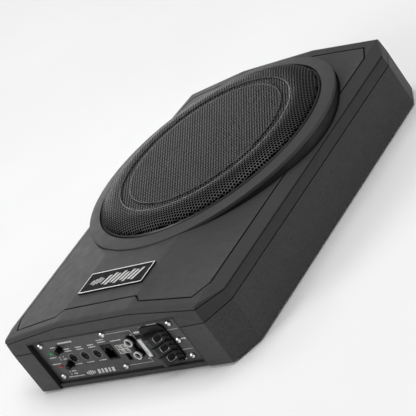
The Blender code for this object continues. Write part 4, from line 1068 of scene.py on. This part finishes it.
def make_buttons():
    for node, body in BUTTON_NODES.items():
        low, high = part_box(node)
        r, front, back = (high.x - low.x) / 2, low.y - PANEL_Y, high.y - PANEL_Y
        neck, stop = 1.7 * MM, -0.8 * MM
        profile = fillet([(0, front), (r, front), (r, stop), (neck, stop), (neck, back), (0, back)],
                         (0, 0.8 * MM, 0.2 * MM, 0, 0, 0), 5)
        button = dial(node + "_cap", profile, node, BLACK, 40)
        dish = [(0, front + 0.35 * MM), (r * 0.62, front + 0.05 * MM), (r * 0.66, front - MM),
                (0, front - MM)]
        boolean(button, facing_front(turned(dish, 32, closed=False), node))
        place(sharpened(button, 40), "black_plastic", node, body=body)
        inner, face, back = 3.6 * MM, -0.5 * MM, -GAP / 3
        collar = [(inner, face), (4.3 * MM, face), (4.5 * MM, face / 2), (4.5 * MM, back), (inner, back)]
        place(dial(node + "_collar", collar, node, BLACK, closed=True), "black_plastic")


def make_pots():
    for name in POTS:
        node = name + "_trimmer_rotor"
        low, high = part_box(node)
        at = centre(node)
        r, face, back = (high.x - low.x) / 2, low.y - PANEL_Y, high.y - PANEL_Y
        profile = fillet([(0, face), (r, face), (r, back), (0, back)], (0, 0.5 * MM, 0, 0), 4)
        rotor = dial(node + "_knob", profile, node, BLACK, 40, 48)
        boolean(rotor, facing_front(turned(tube(2.75 * MM, 3 * MM, face - MM, face + 0.25 * MM), 48), node))
        for half, z0, z1, deep in ((2.6, -0.5, 0.5, 1.4), (0.45, 0, 2.3, 0.9)):
            slot = box((-half * MM, face - MM, z0 * MM), (half * MM, face + deep * MM, z1 * MM))
            boolean(rotor, moved(slot, at.x, PANEL_Y, at.z))
        place(sharpened(rotor, 40), "black_plastic", node, body=name + "_rotor")
        liner = tube(r + 0.12 * MM, r + 0.42 * MM, -0.12 * MM, 1.9 * MM)
        place(dial(name + "_trimmer_liner", liner, node, BLACK, 35, 48, True), "black_plastic")


def make_remote_jack():
    low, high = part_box("remote_jack")
    x = centre("remote_jack").x
    jack = object_from(box(low, high), "remote_jack_body", BLACK)
    bevel(jack, 0.35 * MM, 2)
    deep = 8.5
    hollows = ((0, 5.8, 22.4, 30.8, deep), (0, 3.2, 30, 33, deep), (0, 1.7, 32, 34.5, deep),
               (-4.6, 0.6, 32.5, 35.2, 0.4), (4.6, 0.6, 32.5, 35.2, 0.4))
    for across, half, z0, z1, depth in hollows:
        boolean(jack, box((x + (across - half) * MM, low.y - MM, up(z0 * MM)),
                          (x + (across + half) * MM, low.y + depth * MM, up(z1 * MM))))
    even_shading(jack, 8 * MM * MM)
    place(jack, "black_plastic", "remote_jack")
    wires = []
    for k in range(6):
        wire_x = x + (k - 2.5) * 1.27 * MM
        lean = box((wire_x - 0.2 * MM, 0, 0), (wire_x + 0.2 * MM, 4.2 * MM, 0.45 * MM))
        bmesh.ops.rotate(lean, verts=lean.verts, matrix=Matrix.Rotation(math.radians(24), 3, "X"))
        wires.append(moved(lean, 0, low.y + 4.2 * MM, up(22.7 * MM)))
    place(object_from(joined(wires), "remote_jack_contacts", GOLD), "bright_steel")


def make_high_level_socket():
    low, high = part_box("high_level_socket")
    middle = centre("high_level_socket")
    socket = object_from(box(low, high), "high_level_shell", NYLON)
    bevel(socket, 0.3 * MM, 2)
    pins, cores = [], []
    for sx in (-1, 1):
        for sz in (-1, 1):
            x, z = middle.x + sx * 3.4 * MM, middle.z + sz * 2.3 * MM
            outline = rounded((x - 2.3 * MM, z - 1.7 * MM), (x + 2.3 * MM, z + 1.7 * MM), 0.5 * MM, 3)
            boolean(socket, slab_y(outline, low.y - MM, low.y + 7 * MM))
            for pile, half_x, half_z, front in ((pins, 0.4, 0.4, 0.5), (cores, 1.85, 1.3, 0.7)):
                pile.append(box((x - half_x * MM, low.y + front * MM, z - half_z * MM),
                                (x + half_x * MM, low.y + 6.8 * MM, z + half_z * MM)))
    even_shading(socket, 4 * MM * MM)
    place(socket, "pale_nylon", "high_level_socket")
    core = object_from(joined(cores), "high_level_cores", NYLON)
    bevel(core, 0.2 * MM, 2)
    place(core, "pale_nylon")
    place(object_from(joined(pins), "high_level_pins", STEEL), "bright_steel")
    # A near-black box behind the latch hole: painted shade in the opening.
    latch = box((4.9 * MM, PANEL_Y + 1.2 * MM, up(17 * MM)), (9.9 * MM, PANEL_BACK + 2 * MM, up(24.6 * MM)))
    place(object_from(latch, "high_level_latch_well", SHADE_CLOTH), "black_plastic")


def make_phono():
    low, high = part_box("phono_housing")
    spots = {side: centre("phono_shell_" + side) for side in PHONOS}
    x = spots["upper"].x
    housing = object_from(box((low.x, PANEL_BACK + GAP, low.z), high), "phono_block", BLACK)
    bevel(housing, 0.5 * MM, 2)
    for at in spots.values():
        boolean(housing, rod_y(4.9 * MM, low.y, PANEL_BACK + 4 * MM, 64, (x, at.z)), "UNION")
        boolean(housing, rod_y(4.45 * MM, PANEL_Y - 20 * MM, PANEL_BACK + 6 * MM, 64, (x, at.z)))
    boolean(housing, box((x - 1.6 * MM, low.y + 0.3 * MM, spots["lower"].z + 4 * MM),
                         (x + 1.6 * MM, PANEL_BACK, spots["upper"].z - 4 * MM)), "UNION")
    place(sharpened(housing, 35), "black_plastic", "phono_housing")
    for side in PHONOS:
        node = "phono_shell_" + side
        front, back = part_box(node)[0].y - PANEL_Y, 7.6 * MM
        inner, outer, hub, step = 3.1 * MM, 4.15 * MM, 2.2 * MM, 7 * MM
        points = [(outer, front), (outer, back), (hub, back), (hub, step), (inner, step), (inner, front)]
        shell = fillet(points, (0.3 * MM, 0, 0, 0, 0, 0.35 * MM), 3)
        place(dial(node + "_sleeve", shell, node, TINNED, 40, 64, True), "bright_steel", node)
        core = fillet(tube(1.75 * MM, 3 * MM, front + 1.6 * MM, 6.9 * MM), (0.2 * MM, 0.2 * MM, 0, 0), 2)
        place(dial("phono_insulator_" + side, core, node, PHONO_CORES[side], 35, 48, True), "black_plastic")
        pin = tube(1.15 * MM, 1.6 * MM, front + 3 * MM, 6.5 * MM)
        place(dial("phono_centre_" + side, pin, node, GOLD, 35, 32, True), "bright_steel")


def make_fuse():
    """Black holder, and a clear fuse with two notched ends, blades, a bent element and test points."""
    low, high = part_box("fuse_holder")
    fuse_low, fuse_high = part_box("blade_fuse")
    x, face = centre("blade_fuse").x, fuse_low.y
    blades = ((19.2 * MM, 25 * MM), (32 * MM, 37.8 * MM))
    holder = object_from(box(low, high), "fuse_socket", BLACK)
    bevel(holder, 0.4 * MM, 2)
    boolean(holder, box((fuse_low.x - GAP, low.y - MM, fuse_low.z - GAP),
                        (fuse_high.x + GAP, PANEL_Y + 8.2 * MM, fuse_high.z + GAP)))
    for a, b in blades:
        boolean(holder, box((x - 0.7 * MM, PANEL_Y, up(a) - GAP),
                            (x + 0.7 * MM, PANEL_Y + 15.2 * MM, up(b) + GAP)))
    place(sharpened(holder, 35), "black_plastic", "fuse_holder")
    body = object_from(box(fuse_low, (fuse_high.x, PANEL_Y + 7.8 * MM, fuse_high.z)), "fuse_case", CLEAR)
    bevel(body, 0.45 * MM, 3)
    notch = 1.1 * MM
    for z0, z1 in ((fuse_low.z - MM, fuse_low.z + notch), (fuse_high.z - notch, fuse_high.z + MM)):
        boolean(body, box((fuse_low.x - MM, face + 1.6 * MM, z0), (fuse_high.x + MM, PANEL_Y + 9 * MM, z1)))
    boolean(body, box((x - 1.2 * MM, face - MM, up(23 * MM)), (x + 1.2 * MM, face + 0.35 * MM, up(34 * MM))))
    even_shading(body, 6 * MM * MM)
    place(body, "clear_fuse", "blade_fuse", body="fuse")
    metal = [box((x - 0.35 * MM, PANEL_Y + 7.85 * MM, up(a)), (x + 0.35 * MM, PANEL_Y + 14.5 * MM, up(b)))
             for a, b in blades]
    strip = [(up((22.5 + k) * MM), face + 4.5 * MM - 2.6 * MM * math.sin(k / 12 * math.pi))
             for k in range(13)]
    curve = strip + [(z, y + 0.6 * MM) for z, y in reversed(strip)]
    element = stack([[(ex, y, z) for z, y in curve] for ex in (x - 0.6 * MM, x + 0.6 * MM)])
    place(object_from(joined(metal + [element]), "fuse_blades", STEEL), "bright_steel", body="fuse")
    points = [box((x - 0.7 * MM, face + 0.05 * MM, up(z * MM)),
                  (x + 0.7 * MM, face + 0.9 * MM, up((z + 1.8) * MM))) for z in (20.6, 34.6)]
    place(object_from(joined(points), "fuse_test_points", STEEL), "bright_steel", body="fuse")


# ---------------------------------------------------------------- power terminals
RIDGE_X = (52.7 * MM, 56.6 * MM)
SLOPE_X = (43 * MM, 67 * MM)
SLOPE_BASE = MM
CELL_Z = (10.8 * MM, 43.3 * MM)
CELL = (CELL_Z[1] - CELL_Z[0]) / 3
PROUD = PANEL_Y - block_low.y


def slope(side):
    """Middle point and outward direction of a sloping face; side is -1 for left, 1 for right."""
    k = 0 if side < 0 else 1
    middle = Vector(((RIDGE_X[k] + SLOPE_X[k]) / 2, PANEL_Y - (PROUD + SLOPE_BASE) / 2, 0))
    return middle, Vector(((PROUD - SLOPE_BASE) * side, -abs(SLOPE_X[k] - RIDGE_X[k]), 0)).normalized()


def angled(bm, side, height):
    """Stand a bmesh that points along +Z on a sloping face, at a height above the underside."""
    middle, outward = slope(side)
    turn = outward.to_track_quat("Z", "Y").to_matrix().to_4x4()
    shift = Matrix.Translation((middle.x, middle.y, up(height)))
    bmesh.ops.transform(bm, matrix=shift @ turn, verts=bm.verts)
    return bm


def square(half, radius, z0, z1, steps=6):
    """A square slab with rounded corners about the Z axis, in millimetres."""
    outline = rounded((-half * MM, -half * MM), (half * MM, half * MM), radius * MM, steps)
    return slab_z(outline, z0 * MM, z1 * MM)


def make_terminal(name, height):
    """One cell: a wedge with a wire well in one slope, its cage and a black block that paints the shade deep
    in the well, and a set screw in the other.
    """
    face, crest = PANEL_Y - SLOPE_BASE, PANEL_Y - PROUD
    plan = [(SLOPE_X[0], face), (RIDGE_X[0], crest), (RIDGE_X[1], crest), (SLOPE_X[1], face)]
    half = CELL / 2 - 0.55 * MM
    cell = object_from(slab_z(plan, up(height - half), up(height + half)), name + "_terminal_cell", TERMINAL)
    bevel(cell, 0.45 * MM, 3)
    boolean(cell, angled(square(3.7, 2, -9, 10), 1, height))
    boolean(cell, angled(rod_z(2.7 * MM, -5.2 * MM, REACH, 40), -1, height))
    even_shading(cell, 12 * MM * MM)
    place(cell, "terminal_plastic")
    cage = object_from(angled(square(3.62, 1.95, -8.2, -1.5), 1, height), name + "_wire_cage", TINNED)
    boolean(cage, angled(square(3.05, 1.6, -7.4, 5), 1, height))
    corner = 5 * MM
    boolean(cage, angled(box((-1.9 * MM, -1.9 * MM, -7.4 * MM), (corner, corner, corner)), 1, height))
    place(sharpened(cage, 35), "bright_steel")
    # A black block fills the well behind the cage: painted shade inside the wire well.
    well_shade = angled(square(3, 1.5, -7.35, -1.6, 4), 1, height)
    place(object_from(well_shade, name + "_well_shade_block", BLACK), "black_plastic")
    node = name + "_terminal_screw"
    bottom, top, r = -4.8 * MM, -0.8 * MM, 2.3 * MM
    profile = fillet([(0, bottom), (r, bottom), (r, top), (0, top)], (0, 0.2 * MM, 0.3 * MM, 0), 3)
    screw = object_from(angled(turned(profile, 40, closed=False), -1, height), node + "_head", STEEL, 40)
    boolean(screw, angled(box((-1.9 * MM, -0.4 * MM, -1.9 * MM), (1.9 * MM, 0.4 * MM, MM)), -1, height))
    place(sharpened(screw, 40), "bright_steel", node, body=name + "_screw")


def make_terminals():
    outline = rounded((block_low.x, up(9 * MM)), (72.5 * MM, up(50 * MM)), 6 * MM, 8)
    base = object_from(slab_y(outline, PANEL_Y - 2 * MM, PANEL_Y - GAP / 3), "terminal_base", BLACK)
    bevel(base, 0.6 * MM, 3)
    core = box((47.2 * MM, PANEL_Y - MM, up(14.2 * MM)), (64.8 * MM, PANEL_BACK + 8 * MM, up(39.8 * MM)))
    boolean(base, core, "UNION")
    for k in range(7):
        middle = (CELL_Z[0] + CELL * k / 2) / MM
        proud = 4.2 if k % 2 == 0 else 3.2
        boolean(base, panel_box((65, 71.5), (middle - 0.6, middle + 0.6), (-proud, -1.2)), "UNION")
    place(sharpened(base, 35), "terminal_plastic", "terminal_block")
    for k, name in enumerate(TERMINALS):
        make_terminal(name, CELL_Z[0] + CELL * (k + 0.5))


# ---------------------------------------------------------------- woofer
ROLL_IN, ROLL_OUT = 101.5 * MM, 116.5 * MM
CONE_EDGE, CONE_NECK = 100 * MM, 20 * MM
CONE_EDGE_Z, CONE_NECK_Z = up(60 * MM), up(39 * MM)
SECTORS = 16


def cone_z(radius):
    t = (radius - CONE_NECK) / (CONE_EDGE - CONE_NECK)
    return CONE_NECK_Z + (CONE_EDGE_Z - CONE_NECK_Z) * (1.18 * t - 0.18 * t * t)


def make_cone():
    radii = [CONE_EDGE - (CONE_EDGE - CONE_NECK) * k / 40 for k in range(41)]
    upper = [(r, cone_z(r) + 0.12 * MM * math.sin(r / MM * 0.9)) for r in radii]
    shell = upper + [(r, z - MM) for r, z in reversed(upper)]
    hoop("cone_body", shell, PAPER, "cone_paper", "woofer_cone", segments=128, body="cone_assembly")
    edge, rise = 32 * MM, 9 * MM
    foot = cone_z(edge) + GAP + MM
    cap = [(edge * (1 - k / 12), foot + rise * math.sin(k / 12 * math.pi / 2)) for k in range(13)]
    inside = [(max(r - MM, 0.0), z - MM) for r, z in reversed(cap)]
    hoop("dust_dome", cap + inside, PAPER, "cone_paper", "dust_cap", segments=96, body="cone_assembly")


def radial_blend(name, profile, span, mat, node):
    """Sectors of a ring that reach from the frame at the outer end of the span to the cone at the inner."""
    step = 2 * math.pi / SECTORS
    for k in range(SECTORS):
        bm = turned(profile, 8, arc=(k * step, (k + 1) * step))
        sector = object_from(moved(bm, y=RING_Y), f"{name}_{k + 1:02d}", mat, 50)
        middle = (k + 0.5) * step
        start, end = ((r * math.cos(middle), RING_Y + r * math.sin(middle), profile[0][1]) for r in span)
        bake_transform(sector)
        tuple(start)
        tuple(end)
        if k == 0:
            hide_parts(node)


def sheet_profile(upper, thick):
    return upper + [(r, z - thick) for r, z in reversed(upper)]


def make_suspension():
    thick, fade_steps = 0.8 * MM, 6
    outer_z, inner_z = up(57 * MM + 2 * GAP + 1.8 * MM) + thick, CONE_EDGE_Z + GAP + thick
    middle, half = (ROLL_IN + ROLL_OUT) / 2, (ROLL_OUT - ROLL_IN) / 2
    roll = [(126.5 * MM, outer_z), (119 * MM, outer_z)]
    for k in range(17):
        angle = math.pi * k / 16
        z = outer_z + (inner_z - outer_z) * k / 16 + 6.2 * MM * math.sin(angle)
        roll.append((middle + half * math.cos(angle), z))
    roll.append((97.5 * MM, inner_z))
    radial_blend("surround", sheet_profile(roll, thick), (117.2 * MM, 100 * MM), RUBBER,
                 "woofer_surround")
    inner, outer, steps = 19.5 * MM, 66 * MM, 5 * 8
    waves = []
    for k in range(steps + 1):
        fade = min(1.0, k / fade_steps, (steps - k) / fade_steps)
        waves.append((outer - (outer - inner) * k / steps,
                      up(33.5 * MM) + 0.9 * MM * math.sin(2 * math.pi * k / 8) * fade))
    radial_blend("spider_web", sheet_profile(waves, 0.6 * MM), (60 * MM, 21 * MM), CLOTH,
                 "spider")


# ---------------------------------------------------------------- feet and case screws
def make_feet():
    for corner in CORNERS:
        low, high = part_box("foot_" + corner)
        r, top, sole = (high.x - low.x) / 2, high.z, 0.35 * MM
        profile = [(0, sole)]
        for k in range(1, 4):
            at = r * (0.2 + 0.2 * k)
            profile += [(at - 0.7 * MM, sole), (at - 0.5 * MM, 0), (at + 0.1 * MM, 0), (at + 0.3 * MM, sole)]
        profile += [(r - 0.9 * MM, 0), (r - 0.3 * MM, 0.15 * MM), (r, 0.6 * MM), (r, top), (0, top)]
        bm = moved(turned(profile, 64, closed=False), (low.x + high.x) / 2, (low.y + high.y) / 2)
        place(object_from(bm, "foot_pad_" + corner, RUBBER), "soft_rubber", "foot_" + corner)


def make_case_screws():
    shank = 1.4 * MM
    for corner, (x, y) in zip(CORNERS, screw_posts()):
        node = "case_screw_" + corner
        low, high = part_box(node)
        r, z, seat = (high.x - low.x) / 2, low.z, low.z + 1.1 * MM
        profile = fillet([(0, z), (r, z), (r, seat), (shank, seat), (shank, high.z), (0, high.z)],
                         (0, 0.5 * MM, 0, 0, 0, 0), 4)
        screw = object_from(moved(turned(profile, 40, closed=False), x, y), node + "_head", MOTOR, 40)
        for a, b in ((1.9 * MM, 0.4 * MM), (0.4 * MM, 1.9 * MM)):
            boolean(screw, box((x - a, y - b, z - MM), (x + a, y + b, z + 0.9 * MM)))
        place(sharpened(screw, 40), "motor_steel", node)


# ---------------------------------------------------------------- CAD nodes that stay
KEPT = {
    BOARD: ("control_board", "amplifier_board"), ALUMINIUM: ("heatsink",), COPPER: ("power_inductor",),
    SLEEVE: ("capacitor_left", "capacitor_right"), FERRITE: ("woofer_magnet",), FORMER: ("voice_coil",),
    MOTOR: ("woofer_basket", "magnet_top_plate", "magnet_back_plate"), RUBBER: ("woofer_gasket",),
    BLACK: ("switch_block", *[name + "_trimmer_body" for name in POTS]),
}


def finish_kept_nodes():
    for mat, names in KEPT.items():
        for name in names:
            materials = NODES[name].data.materials
            if not materials:
                materials.append(mat)
            for k in range(len(materials)):
                materials[k] = mat


# ---------------------------------------------------------------- studio
EYE = Vector((1.273186, -1.100819, 0.719002))
AIM = Vector((-0.700860, 0.607462, -0.373878))
RIGHT = Vector((0.694253, 0.460620, -0.553029))
LENS = 170.34
BRIGHT_SIDE = (-0.62, 0.55, 0.56)
SKY = (0.2, 0.3)
LIT_POINT = Vector((0, 0, 0.05))
LIGHTS = (
    ("low_back_left", (-1.9, 1.5, 0.38), 0.9, 8.5),
    ("high_left", (-1.5, 0.2, 1.6), 1.0, 5),
    ("overhead", (0.0, 0.3, 2.2), 1.6, 24),
    ("front_left", (-1.0, -1.9, 0.9), 0.9, 22),
    ("right", (2.2, 0.3, 0.6), 0.9, 4),
    ("high_right", (1.3, -0.1, 2.3), 0.6, 9),
)


def make_camera():
    """Long lens, front right of the case and above it, rolled so that the case climbs to the right."""
    data = bpy.data.cameras.new("camera")
    data.lens, data.sensor_width = LENS, 36.0
    data.clip_start, data.clip_end = 0.05, 50
    camera = bpy.data.objects.new("camera", data)
    bpy.context.scene.collection.objects.link(camera)
    back = -AIM.normalized()
    right = (RIGHT - back * RIGHT.dot(back)).normalized()
    upward = back.cross(right)
    turn = Matrix((right, upward, back)).transposed().to_4x4()
    camera.matrix_world = Matrix.Translation(EYE) @ turn
    bpy.context.scene.camera = camera


def area_light(name, spot, size, power):
    data = bpy.data.lights.new(name, "AREA")
    data.energy, data.size = power, size
    light = bpy.data.objects.new(name, data)
    bpy.context.scene.collection.objects.link(light)
    light.location = spot
    light.rotation_euler = (LIT_POINT - Vector(spot)).to_track_quat("-Z", "Y").to_euler()


def make_studio():
    floor = object_from(box((-6, -6, -0.02), (6, 6, -0.0002)), "studio_floor", None)
    n = Nodes("studio_floor", (0.9, 0.9, 0.9), 0.9)
    floor.data.materials.append(n.finish(n.ramp(n.noise(3, 3), (0.3, (0.88,) * 3), (0.7, (0.92,) * 3))))
    world = bpy.data.worlds.new("studio")
    world.use_nodes = True
    tree = world.node_tree
    background = tree.nodes["Background"]
    toward = tree.nodes.new("ShaderNodeVectorMath")
    toward.operation = "DOT_PRODUCT"
    toward.inputs[1].default_value = BRIGHT_SIDE
    tree.links.new(tree.nodes.new("ShaderNodeTexCoord").outputs["Generated"], toward.inputs[0])
    fade = tree.nodes.new("ShaderNodeMapRange")
    for key, value in (("From Min", -0.6), ("From Max", 0.9), ("To Min", SKY[0]), ("To Max", SKY[1])):
        fade.inputs[key].default_value = value
    tree.links.new(toward.outputs["Value"], fade.inputs["Value"])
    tree.links.new(fade.outputs[0], background.inputs["Strength"])
    background.inputs["Color"].default_value = (1, 1, 1, 1)
    bpy.context.scene.world = world
    for light in LIGHTS:
        area_light(*light)
    bpy.context.scene.view_settings.view_transform = "Standard"


for build in (make_camera, make_studio, make_cover, make_tray, make_ring, make_grille, make_badge, make_panel,
              make_pocket_shade_liner, make_print, make_panel_screws, make_leds, make_buttons, make_pots, make_remote_jack,
              make_high_level_socket, make_phono, make_fuse, make_terminals, make_cone, make_suspension,
              make_feet, make_case_screws, finish_kept_nodes):
    build()
